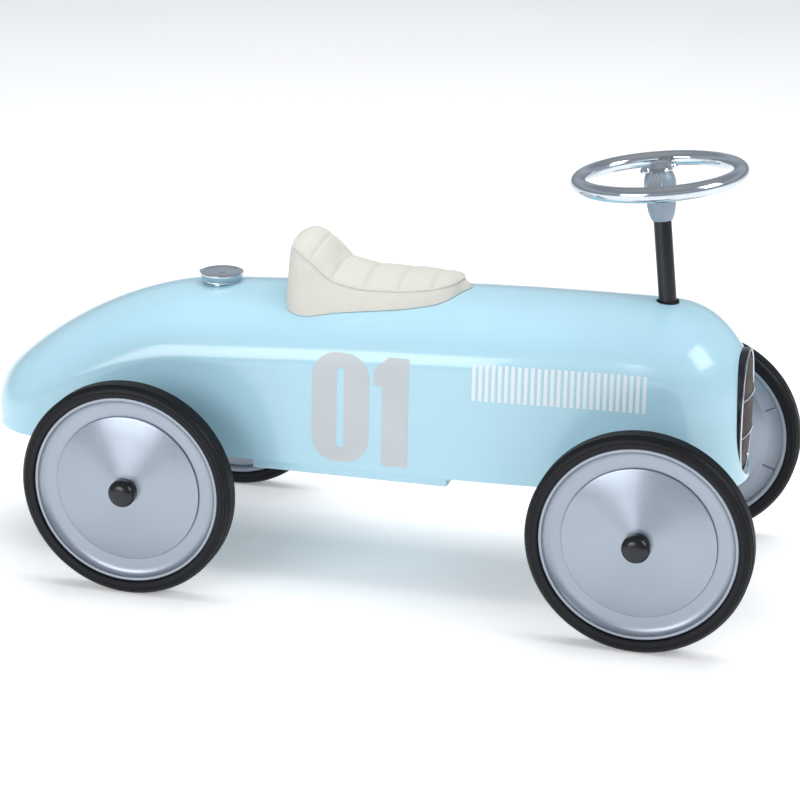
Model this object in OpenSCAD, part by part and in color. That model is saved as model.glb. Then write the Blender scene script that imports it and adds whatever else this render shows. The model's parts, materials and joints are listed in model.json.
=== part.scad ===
// Foot-to-floor racing car for a small child: pressed steel body on a bar chassis,
// steered front wheels, padded seat. X points forward, Y to the car's left, Z up.
// The origin is on the ground, midway between tail and front tyres, on the centre plane.

/* [Body] */
// Length of the body from tail to nose
body_len = 722; // [715:1:724]
// Greatest width of the body
body_w = 176; // [170:1:178]
// Width of the body at the front axle
bonnet_w = 160; // [152:1:162]
// Height of the body's lower edge above the ground
sill_z = 116; // [115:1:119]
// Height of the crest just behind the steering column
hood_z = 274; // [272:1:276]
// Height of the crest at the filler cap
deck_z = 257.3; // [256:0.1:258]
// Thickness of the body's sheet
sheet = 1.5; // [1:0.1:2]

/* [Wheels] */
// Outer radius of a tyre
tyre_r = 100; // [98:1:101]
// Width of a tyre
tyre_w = 22; // [20:1:24]
// Distance between the rear and front axles
wheelbase = 470; // [466:1:472]
// Distance from the centre plane to the middle of a wheel
half_track = 150; // [149:1:154]
// Radius of an axle
axle_r = 5; // [4.5:0.5:5]

/* [Steering] */
// Backward lean of the steering column, in degrees
column_lean = 6; // [5.5:0.5:6.5]
// Radius of the steering column
column_r = 8; // [7:0.5:8]
// Radius of the steering wheel, to the middle of its tube
ring_r = 72; // [66:1:76]
// Radius of the steering wheel's tube
ring_tube_r = 7; // [5:0.5:8]
// Length of the steering arms
steer_arm = 45; // [44:0.5:46]

/* [Seat] */
// Height of the seat's side piping at its middle
seat_z = 274.8; // [273:0.1:280]
// Rise of the seat's back above the middle
seat_back_rise = 30; // [20:1:34]

/* [Foil] */
// Number of louvre stripes on a side
louvre_count = 27; // [5:1:27]
// Thickness of the foil
foil_t = 0.4; // [0.3:0.05:0.6]

/* [Hidden] */
$fn = 64;

paint = [0.69, 0.87, 0.94];
cream = [0.90, 0.90, 0.86];
silver = [0.62, 0.66, 0.70];
chrome = [0.80, 0.83, 0.86];
black = [0.06, 0.07, 0.09];
steel = [0.45, 0.46, 0.48];
foil_grey = [0.78, 0.81, 0.83];

gap = 0.3;
run = 0.05;

// Places along the car
front_x = 375 - tyre_r;
rear_x = front_x - wheelbase;
tail_x = -375;
nose_x = tail_x + body_len;

// Body form: a dome on slightly leaning side walls, rounded in plan at both ends
tail_round = 68;
nose_round = 77;
deck_x = -155;
hood_x = 255;
taper_x = 90;
taper_len = 160;
tail_top_z = sill_z + 32;
nose_top_z = sill_z + 100;
dome_h = 58;
dome_share = 0.75;
wall_lean = tan(2.5);
tip = 0.15;
tail_run = deck_x - tail_x;
nose_run = nose_x - hood_x;
tail_steps = 16;
mid_steps = 16;
nose_steps = 12;
dome_steps = 24;

function ease(t) = let (c = min(1, max(0, t))) c * c * (3 - 2 * c);

// Half width in plan of the surface that lies g outside the body's outer face
function plan_w(x, g = 0) =
  let (w = body_w / 2 - (body_w - bonnet_w) / 2 * ease((x - taper_x) / taper_len) + g)
  let (t = max(0, (tail_x + tail_round - x) / (tail_round + g)))
  let (n = max(0, (x - nose_x + nose_round) / (nose_round + g)))
  w * sqrt(max(0, 1 - t * t)) * sqrt(max(0, 1 - n * n));

function tail_crest(x, g) =
  let (s = min(1, (deck_x - x) / (tail_run + g)))
  tail_top_z + (deck_z + g - tail_top_z) * pow(1 - pow(s, 1.75), 1 / 1.2);
function mid_crest(x, g) = deck_z + g + (hood_z - deck_z) * sin(90 * (x - deck_x) / (hood_x - deck_x));
function nose_crest(x, g) =
  let (n = min(1, (x - hood_x) / (nose_run + g)))
  nose_top_z + (hood_z + g - nose_top_z) * pow(1 - pow(n, 2.8), 1 / 1.08);
function crest(x, g = 0) =
  x < deck_x ? tail_crest(x, g) : x < hood_x ? mid_crest(x, g) : nose_crest(x, g);

function dome(x, g = 0) = min(dome_h + g, dome_share * (crest(x, g) - sill_z));
function wall_h(x, g = 0) = crest(x, g) - sill_z - dome(x, g);
function shoulder(x, g = 0) = let (w = plan_w(x, g)) max(w - wall_lean * wall_h(x, g), 0.9 * w);

// Height of the surface above the point x, y
function dome_z(x, y, g = 0) =
  sill_z + wall_h(x, g) + dome(x, g) * sqrt(max(0, 1 - pow(y / shoulder(x, g), 2)));
// Half width of the surface at the height z
function side_y(x, z, g = 0) =
  let (up = z - sill_z - wall_h(x, g))
  up <= 0 ? plan_w(x, g) - wall_lean * (z - sill_z)
          : shoulder(x, g) * sqrt(max(0, 1 - pow(up / dome(x, g), 2)));

function stations(g) = concat(
  [for (i = [0:tail_steps - 1]) tail_x - g + tip + (tail_run + g - tip) * (1 - cos(90 * i / tail_steps))],
  [for (i = [0:mid_steps - 1]) deck_x + (hood_x - deck_x) * i / mid_steps],
  [for (i = [0:nose_steps]) hood_x + (nose_run + g - tip) * sin(90 * i / nose_steps)]
);

// Points of one cross-section, from the right lower edge over the crest to the left one
function section(x, g) =
  let (w = plan_w(x, g), s = shoulder(x, g), h = wall_h(x, g), d = dome(x, g))
  concat(
    [[x, -w, sill_z], [x, -(w + s) / 2, sill_z + h / 2]],
    [for (k = [0:dome_steps]) let (a = 180 * k / dome_steps)
      [x, -s * cos(a), sill_z + h + d * sin(a)]],
    [[x, (w + s) / 2, sill_z + h / 2], [x, w, sill_z]]
  );

// Flat end of a section whose n points, an odd number, start at index a, made of bands across it
function end_faces(a, n, turn) =
  let (mid = (n - 1) / 2, top = [a + mid - 1, a + mid + 1, a + mid])
  concat(
    [for (j = [0:mid - 2]) let (b = a + j, c = a + n - 1 - j)
      each (turn == 1 ? [[b, c, c - 1], [b, c - 1, b + 1]] : [[b, c - 1, c], [b, b + 1, c - 1]])],
    [turn == 1 ? top : [top[2], top[1], top[0]]]
  );

// Closed shell between two grids of m rows of n points, open along its lower edge
function shell_faces(m, n) =
  let (in = m * n)
  concat(
    [for (i = [0:m - 2], j = [0:n - 2], t = [0, 1])
      let (a = i * n + j, b = a + n, c = b + 1, d = a + 1)
      t == 0 ? [a, d, c] : [a, c, b]],
    [for (i = [0:m - 2], j = [0:n - 2], t = [0, 1])
      let (a = in + i * n + j, b = a + n, c = b + 1, d = a + 1)
      t == 0 ? [a, c, d] : [a, b, c]],
    end_faces(0, n, 1),
    end_faces(in, n, 0),
    end_faces((m - 1) * n, n, 0),
    end_faces(in + (m - 1) * n, n, 1),
    [for (i = [0:m - 2]) let (a = i * n, b = in + a) each [[a, a + n, b + n], [a, b + n, b]]],
    [for (i = [0:m - 2]) let (a = i * n + n - 1, b = in + a) each [[a, b, b + n], [a, b + n, a + n]]],
    [let (b = in + n - 1) each [[0, in, b], [0, b, n - 1]]],
    [let (a = (m - 1) * n, b = in + a) each [[a, a + n - 1, b + n - 1], [a, b + n - 1, b]]]
  );

module pressed_body() {
  outer = [for (x = stations(0)) section(x, 0)];
  inner = [for (x = stations(-sheet)) section(x, -sheet)];
  rows = len(outer);
  cols = len(outer[0]);
  polyhedron([for (r = concat(outer, inner)) for (p = r) p], shell_faces(rows, cols), convexity = 6);
}

// Closed block between two grids of m rows of n points: an upper one and a lower one
function block_faces(m, n) =
  let (in = m * n)
  concat(
    [for (i = [0:m - 2], j = [0:n - 2], t = [0, 1])
      let (a = i * n + j, b = a + n, c = b + 1, d = a + 1)
      t == 0 ? [a, d, c] : [a, c, b]],
    [for (i = [0:m - 2], j = [0:n - 2], t = [0, 1])
      let (a = in + i * n + j, b = a + n, c = b + 1, d = a + 1)
      t == 0 ? [a, c, d] : [a, b, c]],
    [for (i = [0:m - 2], t = [0, 1]) let (a = i * n, b = a + n)
      t == 0 ? [a, b, in + b] : [a, in + b, in + a]],
    [for (i = [0:m - 2], t = [0, 1]) let (a = i * n + n - 1, b = a + n)
      t == 0 ? [a, in + b, b] : [a, in + a, in + b]],
    [for (j = [0:n - 2], t = [0, 1])
      t == 0 ? [j, in + j, in + j + 1] : [j, in + j + 1, j + 1]],
    [for (j = [0:n - 2], t = [0, 1]) let (a = (m - 1) * n + j)
      t == 0 ? [a, a + 1, in + a + 1] : [a, in + a + 1, in + a]]
  );

module block(upper, lower) {
  polyhedron([for (g = [upper, lower]) for (r = g) for (p = r) p],
             block_faces(len(upper), len(upper[0])), convexity = 4);
}

// Grille outline: a tall oval
grille_z = sill_z + 61.5;
grille_half_w = 34;
grille_half_h = 58;
grille_face_x = nose_x - 5;
grille_depth = 10;
grille_bulge = 5;
function oval(g, n) = [for (i = [0:n - 1]) let (a = 360 * i / n, c = cos(a), s = sin(a))
  [(grille_half_w + g) * sign(c) * pow(abs(c), 0.85), (grille_half_h + g) * sign(s) * pow(abs(s), 0.85)]];
module oval_prism(g, x0, x1) {
  translate([x0, 0, grille_z]) rotate([90, 0, 90]) linear_extrude(x1 - x0) polygon(oval(g, 48));
}

// Steering column: local Z runs up the column from the middle of the steering wheel
wheel_mid = [254.5, 0, 387.5];
module on_column() {
  translate(wheel_mid) rotate([0, -column_lean, 0]) children();
}
function column_point(d) = [wheel_mid[0] - d * sin(column_lean), 0, wheel_mid[2] + d * cos(column_lean)];
hood_d = -114.5;
foot_d = -283;
drop_d = -280;

// Chassis heights
pan_z = sill_z - 9;
pan_t = 2;
rail_h = 8;
rail_w = 18;
rail_y = 45;
rail_z = pan_z + pan_t;
plate_t = 2;
plate_z = rail_z + rail_h;
pan_x0 = -98;
pan_x1 = 87;
pan_half_w = body_w / 2 - 2.6;
bolt_r = 2.5;
rear_plate_x = -249;
front_plate_x = 268;

module at_rails() {
  for (s = [-1, 1]) translate([0, s * rail_y, 0]) children();
}

module body_shell() {
  color(paint) difference() {
    pressed_body();
    on_column() translate([0, 0, hood_d - 20]) cylinder(r = column_r + 2.4, h = 40);
    translate([deck_x, 0, deck_z - 20]) cylinder(r = neck_r + 0.2, h = 40);
    for (x = stud_xs) translate([x, 0, crest(x) - 20]) cylinder(r = stud_r + 0.4, h = 40);
    oval_prism(gap, nose_x - 30, nose_x + 20);
  }
}

module floor_pan() {
  wall_top = sill_z + 11;
  end_top = sill_z + 1;
  color(paint) difference() {
    translate([pan_x0, -pan_half_w, pan_z]) cube([pan_x1 - pan_x0, 2 * pan_half_w, wall_top - pan_z]);
    translate([pan_x0 + pan_t, pan_t - pan_half_w, pan_z + pan_t])
      cube([pan_x1 - pan_x0 - 2 * pan_t, 2 * (pan_half_w - pan_t), 40]);
    translate([pan_x0 - 1, pan_t - pan_half_w, end_top])
      cube([pan_x1 - pan_x0 + 2, 2 * (pan_half_w - pan_t), 40]);
    at_rails() translate([pan_x0 - 1, -rail_w / 2 - gap, rail_z])
      cube([pan_x1 - pan_x0 + 2, rail_w + 2 * gap, 40]);
    at_rails() for (x = pan_screw_xs) translate([x, 0, pan_z]) {
      translate([0, 0, -0.01]) cylinder(r1 = head_r + 0.05, r2 = bolt_r + 0.05, h = pan_t + 0.02);
    }
  }
}

pan_screw_xs = [pan_x0 + 24, pan_x1 - 24];
head_r = 4.5;
module pan_screws() {
  color(steel) at_rails() for (x = pan_screw_xs) translate([x, 0, pan_z]) {
    cylinder(r1 = head_r, r2 = bolt_r, h = pan_t);
    cylinder(r = bolt_r, h = pan_t + rail_h - 1);
  }
}

module rail(s) {
  x0 = rear_plate_x - 13;
  x1 = front_x + 41;
  color(black) difference() {
    translate([x0, s * rail_y - rail_w / 2, rail_z]) cube([x1 - x0, rail_w, rail_h]);
    for (x = concat(pan_screw_xs, [rear_plate_x, front_plate_x]))
      translate([x, s * rail_y, rail_z - 1]) cylinder(r = bolt_r + 0.05, h = rail_h + 2);
  }
}
module rail_left() { rail(1); }
module rail_right() { rail(-1); }

// Plate across both rails with upturned ends against the body's sides
module cross_plate(x0, x1, half) {
  translate([x0, -half, plate_z]) cube([x1 - x0, 2 * half, plate_t]);
  for (s = [-1, 1]) translate([x0, s * (half - plate_t / 2) - plate_t / 2, plate_z])
    cube([x1 - x0, plate_t, 14]);
}
module rear_cross_plate() {
  color(black) difference() {
    cross_plate(rear_plate_x - 13, rear_plate_x + 13, body_w / 2 - sheet - 1.6);
    at_rails() translate([rear_plate_x, 0, plate_z - 1]) cylinder(r = bolt_r + 0.05, h = 4);
  }
}
module front_cross_plate() {
  foot = column_point(-275);
  color(black) difference() {
    union() {
      cross_plate(front_plate_x - 12, front_plate_x + 12, bonnet_w / 2 - sheet - 2.4);
      translate([front_plate_x - 12, -rail_y - 9, plate_z])
        cube([front_x + 53 - front_plate_x, 2 * rail_y + 18, plate_t]);
    }
    at_rails() translate([front_plate_x, 0, plate_z - 1]) cylinder(r = bolt_r + 0.05, h = 4);
    translate([foot[0] - 1, 0, plate_z - 1]) cylinder(r = column_r + 4, h = 4);
  }
}
module frame_bolts() {
  color(steel) at_rails() for (x = [rear_plate_x, front_plate_x]) translate([x, 0, 0]) {
    translate([0, 0, rail_z + 1]) cylinder(r = bolt_r, h = plate_z + plate_t - rail_z - 1);
    translate([0, 0, plate_z + plate_t]) cylinder(r = 4.6, h = 3.2, $fn = 6);
  }
}

brace_z = 249;
module hood_brace() {
  at = column_point((brace_z - wheel_mid[2]) / cos(column_lean));
  half = side_y(at[0] + 16, brace_z + plate_t, -sheet) - 0.8;
  color(black) difference() {
    translate([at[0] - 16, -half, brace_z]) cube([32, 2 * half, plate_t]);
    on_column() translate([0, 0, hood_d - 50]) cylinder(r = bearing_r + 0.05, h = 60);
  }
}

bearing_r = 12;
module upper_column_bearing() {
  color(black) on_column() difference() {
    union() {
      translate([0, 0, hood_d - 28]) cylinder(r = bearing_r, h = 20);
      translate([0, 0, hood_d - 19.5]) cylinder(r = bearing_r + 4, h = 3);
    }
    translate([0, 0, hood_d - 40]) cylinder(r = column_r + run, h = 60);
  }
}
module lower_column_bearing() {
  at = column_point(-262);
  color(black) difference() {
    translate([at[0] - 18, -18, plate_z + plate_t]) cube([36, 36, 12]);
    on_column() translate([0, 0, -300]) cylinder(r = column_r + run, h = 80);
  }
}
module column_grommet() {
  color(black) on_column() difference() {
    translate([0, 0, hood_d - 5]) cylinder(r = column_r + 2.2, h = 7.2);
    translate([0, 0, hood_d - 20]) cylinder(r = column_r + gap, h = 40);
  }
}

// Seat: outline of the skirt, outline of the piping, heights along the centre
seat_x0 = -79.5;
seat_x1 = 88;
function seat_skirt_y(x) =
  let (base = 60 - (x + 50) / 6)
  let (b = max(0, (-58 - x) / 22), f = max(0, (x - 58) / 30.5))
  base * pow(max(0, 1 - pow(b, 2.5)), 0.4) * sqrt(max(0, 1 - f * f));
function seat_piping_y(x) =
  let (b = max(0, (-50 - x) / 33), f = max(0, (x - 20) / 69))
  41 * sqrt(max(0, 1 - b * b)) * sqrt(max(0, 1 - f * f));
function seat_back(x) = exp(-pow((x + 70) / 25, 2));
function seat_edge_z(x) =
  let (f = max(0, (x - 70) / 18.5))
  let (top = seat_z + 0.03 * max(0, x) + seat_back_rise * seat_back(x))
  let (low = crest(x) + 4)
  low + (top - low) * sqrt(max(0, 1 - f * f));
function seat_crown(x) = 3 + 8 * seat_back(x);
seat_lift = 0.4;
base_t = 3;

seat_steps = 20;
seat_cols = 14;
function seat_station(i) = seat_x0 + (seat_x1 - seat_x0) * (1 - cos(180 * i / seat_steps)) / 2;
// Across the seat: up the skirt, over the crown and down the other side
function seat_top_row(x) =
  let (s = seat_skirt_y(x), p = seat_piping_y(x), e = seat_edge_z(x), c = seat_crown(x))
  [for (j = [0:seat_cols])
    let (t = 2 * j / seat_cols - 1, m = abs(t))
    m > 0.71 ? [x, sign(t) * (p + (s - p) * (m - 0.71) / 0.29),
                e + (dome_z(x, s, seat_lift + 2) - e) * (m - 0.71) / 0.29]
             : [x, p * t / 0.71, e + c * (1 - pow(t / 0.71, 2))]];
function seat_low_row(x) =
  let (s = seat_skirt_y(x))
  [for (j = [0:seat_cols])
    let (t = 2 * j / seat_cols - 1, m = abs(t))
    [x, s * t, dome_z(x, s * t, m > 0.9 ? seat_lift : seat_lift + base_t + 0.6)]];
module seat_cushion() {
  rows = [for (i = [1:seat_steps - 1]) seat_station(i)];
  color(cream) block([for (x = rows) seat_top_row(x)], [for (x = rows) seat_low_row(x)]);
}
module seat_base() {
  xs = [for (i = [0:12]) -70 + 148 * i / 12];
  ys = [for (j = [-5:5]) j / 5 * 0.78];
  color(black) block(
    [for (x = xs) [for (t = ys) let (y = t * seat_skirt_y(x)) [x, y, dome_z(x, y, seat_lift + base_t)]]],
    [for (x = xs) [for (t = ys) let (y = t * seat_skirt_y(x)) [x, y, dome_z(x, y, seat_lift)]]]);
}
stud_xs = [-40, 50];
stud_r = 2.5;
module seat_studs() {
  color(steel) for (x = stud_xs) translate([x, 0, crest(x)]) {
    translate([0, 0, -16]) cylinder(r = stud_r, h = 16);
    translate([0, 0, -7.2]) cylinder(r = 4.6, h = 4, $fn = 6);
    translate([0, 0, -3.2]) cylinder(r = 7, h = 0.8);
  }
}

// Filler neck and its quarter-turn cap
neck_r = 15;
cap_r = 20.5;
cap_z = deck_z + 2.6;
cap_h = 7;
module filler_neck() {
  color(chrome) translate([deck_x, 0, 0]) difference() {
    union() {
      translate([0, 0, deck_z - 10]) cylinder(r = neck_r, h = 15);
      translate([0, 0, deck_z + 1.2]) cylinder(r = neck_r + 2.5, h = 1.1);
    }
    translate([0, 0, deck_z - 20]) cylinder(r = neck_r - 3, h = 40);
  }
}
module filler_cap() {
  color(chrome) translate([deck_x, 0, 0]) difference() {
    union() {
      translate([0, 0, cap_z]) cylinder(r1 = cap_r - 2, r2 = cap_r - 0.6, h = 4.4, $fn = 96);
      translate([0, 0, cap_z + 4.4]) cylinder(r = cap_r, h = cap_h - 5.2, $fn = 96);
      translate([0, 0, cap_z + cap_h - 0.8]) cylinder(r1 = cap_r, r2 = cap_r - 0.8, h = 0.8, $fn = 96);
      translate([-cap_r - 2, -2, cap_z + 4.4]) cube([5, 4, 1.8]);
    }
    translate([0, 0, cap_z - 1]) difference() {
      cylinder(r = neck_r + 0.5, h = 4.4);
      cylinder(r = neck_r - 3.5, h = 4.4);
    }
  }
}

module grille_housing() {
  color(black) difference() {
    oval_prism(0, grille_face_x - grille_depth, grille_face_x);
    oval_prism(-3, grille_face_x - grille_depth + 2, grille_face_x + 1);
  }
}
module grille_trim() {
  color(chrome) difference() {
    oval_prism(-0.3, grille_face_x, grille_face_x + 1.4);
    oval_prism(-1.9, grille_face_x - 1, grille_face_x + 3);
  }
}
// Bulging plate: rings of the oval that rise towards the middle
mesh_rings = 4;
mesh_pts = 32;
function mesh_point(k, i, dx) =
  let (q = k / mesh_rings, p = oval(-3.4, mesh_pts)[i])
  [grille_face_x - 0.6 + dx + grille_bulge * (1 - q * q), q * p[0], grille_z + q * p[1]];
module grille_mesh() {
  n = mesh_pts;
  rings = [for (k = [1:mesh_rings]) k];
  layer = mesh_rings * n + 1;
  pts = [for (dx = [0, -1.2]) for (q = concat([[0]], [rings]))
    each (q == [0] ? [mesh_point(0, 0, dx)] : [for (k = q) for (i = [0:n - 1]) mesh_point(k, i, dx)])];
  at = function(l, k, i) l * layer + 1 + (k - 1) * n + i % n;
  fan = [for (i = [0:n - 1]) each [
    [0, at(0, 1, i + 1), at(0, 1, i)],
    [layer, at(1, 1, i), at(1, 1, i + 1)]]];
  bands = [for (k = [1:mesh_rings - 1], i = [0:n - 1]) each [
    [at(0, k, i), at(0, k, i + 1), at(0, k + 1, i + 1)],
    [at(0, k, i), at(0, k + 1, i + 1), at(0, k + 1, i)],
    [at(1, k, i), at(1, k + 1, i + 1), at(1, k, i + 1)],
    [at(1, k, i), at(1, k + 1, i), at(1, k + 1, i + 1)]]];
  edge = [for (i = [0:n - 1]) each [
    [at(0, mesh_rings, i), at(0, mesh_rings, i + 1), at(1, mesh_rings, i + 1)],
    [at(0, mesh_rings, i), at(1, mesh_rings, i + 1), at(1, mesh_rings, i)]]];
  color([0.36, 0.34, 0.32]) polyhedron(pts, concat(fan, bands, edge), convexity = 4);
}
bar_zs = [grille_z - 17.5, grille_z + 17.5];
module grille_bars() {
  sag = grille_bulge * 0.92;
  half = grille_half_w - 4.5;
  arc_r = (half * half + sag * sag) / (2 * sag);
  span = 2 * asin(half / arc_r);
  color(chrome) for (z = bar_zs) translate([grille_face_x + 0.4 + sag - arc_r + 0.9, 0, z])
    rotate([0, 0, -span / 2]) rotate_extrude(angle = span, $fn = 180) translate([arc_r, 0])
      circle(r = 0.8, $fn = 16);
}

// Foil on the body's side: a strip between two outlines given as x, z points
function foil_point(p, side, mid, g) =
  let (x = side < 0 ? p[0] : 2 * mid - p[0])
  [x, side * side_y(x, p[1], g), p[1]];
module foil_strip(a, b, side, mid, closed = false) {
  n = len(a);
  low = 0.22;
  pts = [for (i = [0:n - 1]) each [
    foil_point(a[i], side, mid, low), foil_point(a[i], side, mid, low + foil_t),
    foil_point(b[i], side, mid, low), foil_point(b[i], side, mid, low + foil_t)]];
  quads = [for (i = [0:(closed ? n - 1 : n - 2)])
    let (s = 4 * i, e = 4 * ((i + 1) % n))
    each [[s + 1, e + 1, e + 3, s + 3], [s, s + 2, e + 2, e],
      [s, e, e + 1, s + 1], [s + 2, s + 3, e + 3, e + 2]]];
  last = 4 * (n - 1);
  caps = closed ? [] : [[0, 1, 3, 2], [last, last + 2, last + 3, last + 1]];
  tris = [for (q = concat(quads, caps)) each [[q[0], q[1], q[2]], [q[0], q[2], q[3]]]];
  polyhedron(pts, tris, convexity = 4);
}

louvre_x0 = 108;
louvre_pitch = 5.85;
louvre_w = 3.3;
louvre_z0 = sill_z + 75.6;
louvre_z1 = sill_z + 109.3;
module louvre_foils() {
  zs = [for (k = [0:5]) louvre_z0 + (louvre_z1 - louvre_z0) * k / 5];
  mid = louvre_x0 + (louvre_pitch * (louvre_count - 1) + louvre_w) / 2;
  color(foil_grey) for (side = [-1, 1], i = [0:louvre_count - 1]) {
    x = louvre_x0 + louvre_pitch * i;
    foil_strip([for (z = zs) [x, z]], [for (z = zs) [x + louvre_w, z]], side, mid);
  }
}

// Racing number: a nought and a one, as plain upright figures
digit_z0 = sill_z + 6.5;
digit_h = 101.5;
stroke = 23.4;
nought_x = -13.6;
nought_w = 53.7;
one_x = 25.5;
number_mid = 4.7;
// A tall ring outline: half-width w, half-height h, counter-clockwise from the lower right
function ring_outline(w, h, r) = [for (i = [0:43])
  let (q = floor(i / 11), k = i % 11)
  let (a = 9 * k + 90 * (q - 1))
  let (cx = (q == 0 || q == 1) ? w - r : r - w, cz = (q == 1 || q == 2) ? h - r : r - h)
  [nought_x + cx + r * cos(a), digit_z0 + digit_h / 2 + cz + r * sin(a)]];
function side_steps(p) = [for (i = [0:len(p) - 1])
  let (c = p[i], n = p[(i + 1) % len(p)], far = abs(n[1] - c[1]) > 14)
  each (far ? [for (k = [0:5]) c + (n - c) * k / 6] : [c])];
module nought(side) {
  outer = side_steps(ring_outline(nought_w / 2, digit_h / 2, nought_w / 2 - 4));
  inner = side_steps(ring_outline(nought_w / 2 - stroke, digit_h / 2 - 13.5, 3.2));
  middle = (outer + inner) / 2;
  foil_strip(inner, middle, side, number_mid, true);
  foil_strip(middle, outer, side, number_mid, true);
}
module one(side) {
  flag_z = digit_z0 + 74.5;
  flag_h = 14.9;
  flag_w = 8.1;
  tip_z = digit_z0 + digit_h;
  left = concat(
    [for (k = [0:6]) [one_x, digit_z0 + (flag_z - 0.05 - digit_z0) * k / 6]],
    [for (k = [0:2]) [one_x - flag_w, flag_z + flag_h * k / 2]],
    [for (k = [1:2]) [one_x - flag_w + (flag_w + 5.5) * k / 2,
      flag_z + flag_h + (tip_z - flag_z - flag_h) * k / 2]]);
  foil_strip(left, [for (p = left) [one_x + stroke + 1, p[1]]], side, number_mid);
}
module number_foils() {
  color(foil_grey) for (side = [-1, 1]) {
    nought(side);
    one(side);
  }
}

// Wheels: local Z points outward along the axle, from the middle of the wheel
module at_wheel(x, s) {
  translate([x, s * half_track, tyre_r]) rotate([-90 * s, 0, 0]) children();
}
rim_r = tyre_r - 12;
rim_half_w = tyre_w / 2 - 3;
disc_r = tyre_r - 31.5;
hub_r = 8.2;
bush_half = 12.5;

module rounded_box(w, h, r) {
  translate([r, 0]) square([w - 2 * r, h]);
  translate([0, r]) square([w, h - 2 * r]);
  for (x = [r, w - r], y = [r, h - r]) translate([x, y]) circle(r = r, $fn = 32);
}
module tyre(x, s) {
  color(black) at_wheel(x, s) rotate_extrude($fn = 128) difference() {
    union() {
      translate([rim_r + 0.3, -tyre_w / 2]) rounded_box(tyre_r - rim_r - 0.3, tyre_w, 4.5);
      translate([rim_r - 2.7, -rim_half_w + 1.8]) square([6, 2 * rim_half_w - 3.6]);
    }
    for (k = [-2:2]) translate([tyre_r - 0.7, k * 3 - 0.5]) square([2, 1]);
  }
}
rib_count = 8;
web_t = 2.2;
web_a = 1.6;
module rim_outline() {
  a = rim_half_w;
  polygon(concat(
    [[hub_r, bush_half - 1], [hub_r + 3, bush_half - 1], [hub_r + 3, -6.3], [30, -5.8],
     [disc_r - 6, -2.4], [disc_r - 2, 1.2], [disc_r + 8, web_a]],
    [for (k = [1:5]) let (t = 90 * k / 5)
      [disc_r + 8 + (rim_r - disc_r - 11.5) * sin(t), web_a + (a - web_a) * (1 - cos(t))]],
    [[rim_r, a], [rim_r, a - 1.5], [rim_r - 3, a - 1.6],
     [rim_r - 3, 1.6 - a], [rim_r, 1.5 - a], [rim_r, -a]],
    [[rim_r - 3.4, -a], [rim_r - 5, 2 - a], [rim_r - 5.2, web_a - web_t], [disc_r + 2, web_a - web_t],
     [disc_r - 1, web_a - 1 - web_t], [disc_r - 5, -2.4 - web_t], [30, -6.4 - web_t], [hub_r + 3, -9.6],
     [hub_r + 3, 0.5 - bush_half], [hub_r, 0.5 - bush_half]]));
}
module rim(x, s) {
  color(silver) at_wheel(x, s) {
    rotate_extrude($fn = 128) rim_outline();
    for (i = [0:rib_count - 1]) rotate([0, 0, (i + 0.5) * 360 / rib_count])
      translate([disc_r + 2.5, -1, web_a - web_t - 1.5]) cube([11, 2, 1.7]);
  }
}
module hub_disc(x, s) {
  color(chrome) at_wheel(x, s) rotate_extrude($fn = 128)
    polygon([
      [12, 9.2], [12, 10.4], [14, 10.2], [disc_r - 1, 3.4],
      [disc_r, 2.9], [disc_r, 2], [disc_r - 1.2, 2], [14, 9]]);
}
module bush(x, s) {
  color(black) at_wheel(x, s) difference() {
    translate([0, 0, -bush_half]) cylinder(r = hub_r - 0.04, h = 2 * bush_half);
    translate([0, 0, -20]) cylinder(r = axle_r + run, h = 40);
  }
}
nut_r = 12.6;
nut_a = bush_half + gap;
module hub_nut(x, s) {
  color(black) at_wheel(x, s) difference() {
    union() {
      translate([0, 0, nut_a]) cylinder(r = nut_r, h = 6);
      translate([0, 0, nut_a + 6]) intersection() {
        translate([0, 0, -12]) sphere(r = 17.4, $fn = 64);
        cylinder(r = nut_r, h = 10);
      }
    }
    translate([0, 0, nut_a - 1]) cylinder(r = axle_r + 0.02, h = 5.2);
  }
}

module rear_axle() {
  half = half_track + nut_a + 4;
  color(steel) translate([rear_x, half, tyre_r]) rotate([90, 0, 0]) cylinder(r = axle_r, h = 2 * half);
}
module rear_axle_spacers() {
  y0 = rail_y + rail_w / 2 + 0.1;
  y1 = half_track - bush_half - gap;
  color(black) for (s = [-1, 1]) translate([rear_x, s * (y0 + y1) / 2, tyre_r]) rotate([90, 0, 0])
    difference() {
      cylinder(r = 8, h = y1 - y0, center = true);
      cylinder(r = axle_r + 0.03, h = 200, center = true);
    }
}
module axle_bracket(s) {
  color(black) translate([rear_x, s * rail_y, 0]) difference() {
    union() {
      translate([-15, -rail_w / 2, tyre_r]) cube([30, rail_w, rail_z - tyre_r]);
      translate([0, 0, tyre_r]) rotate([90, 0, 0]) cylinder(r = rail_z - tyre_r, h = rail_w, center = true);
    }
    translate([0, 0, tyre_r]) rotate([90, 0, 0]) cylinder(r = axle_r + 0.02, h = 40, center = true);
  }
}
module axle_bracket_left() { axle_bracket(1); }
module axle_bracket_right() { axle_bracket(-1); }
module rear_hub_nuts() {
  hub_nut(rear_x, 1);
  hub_nut(rear_x, -1);
}

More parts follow.
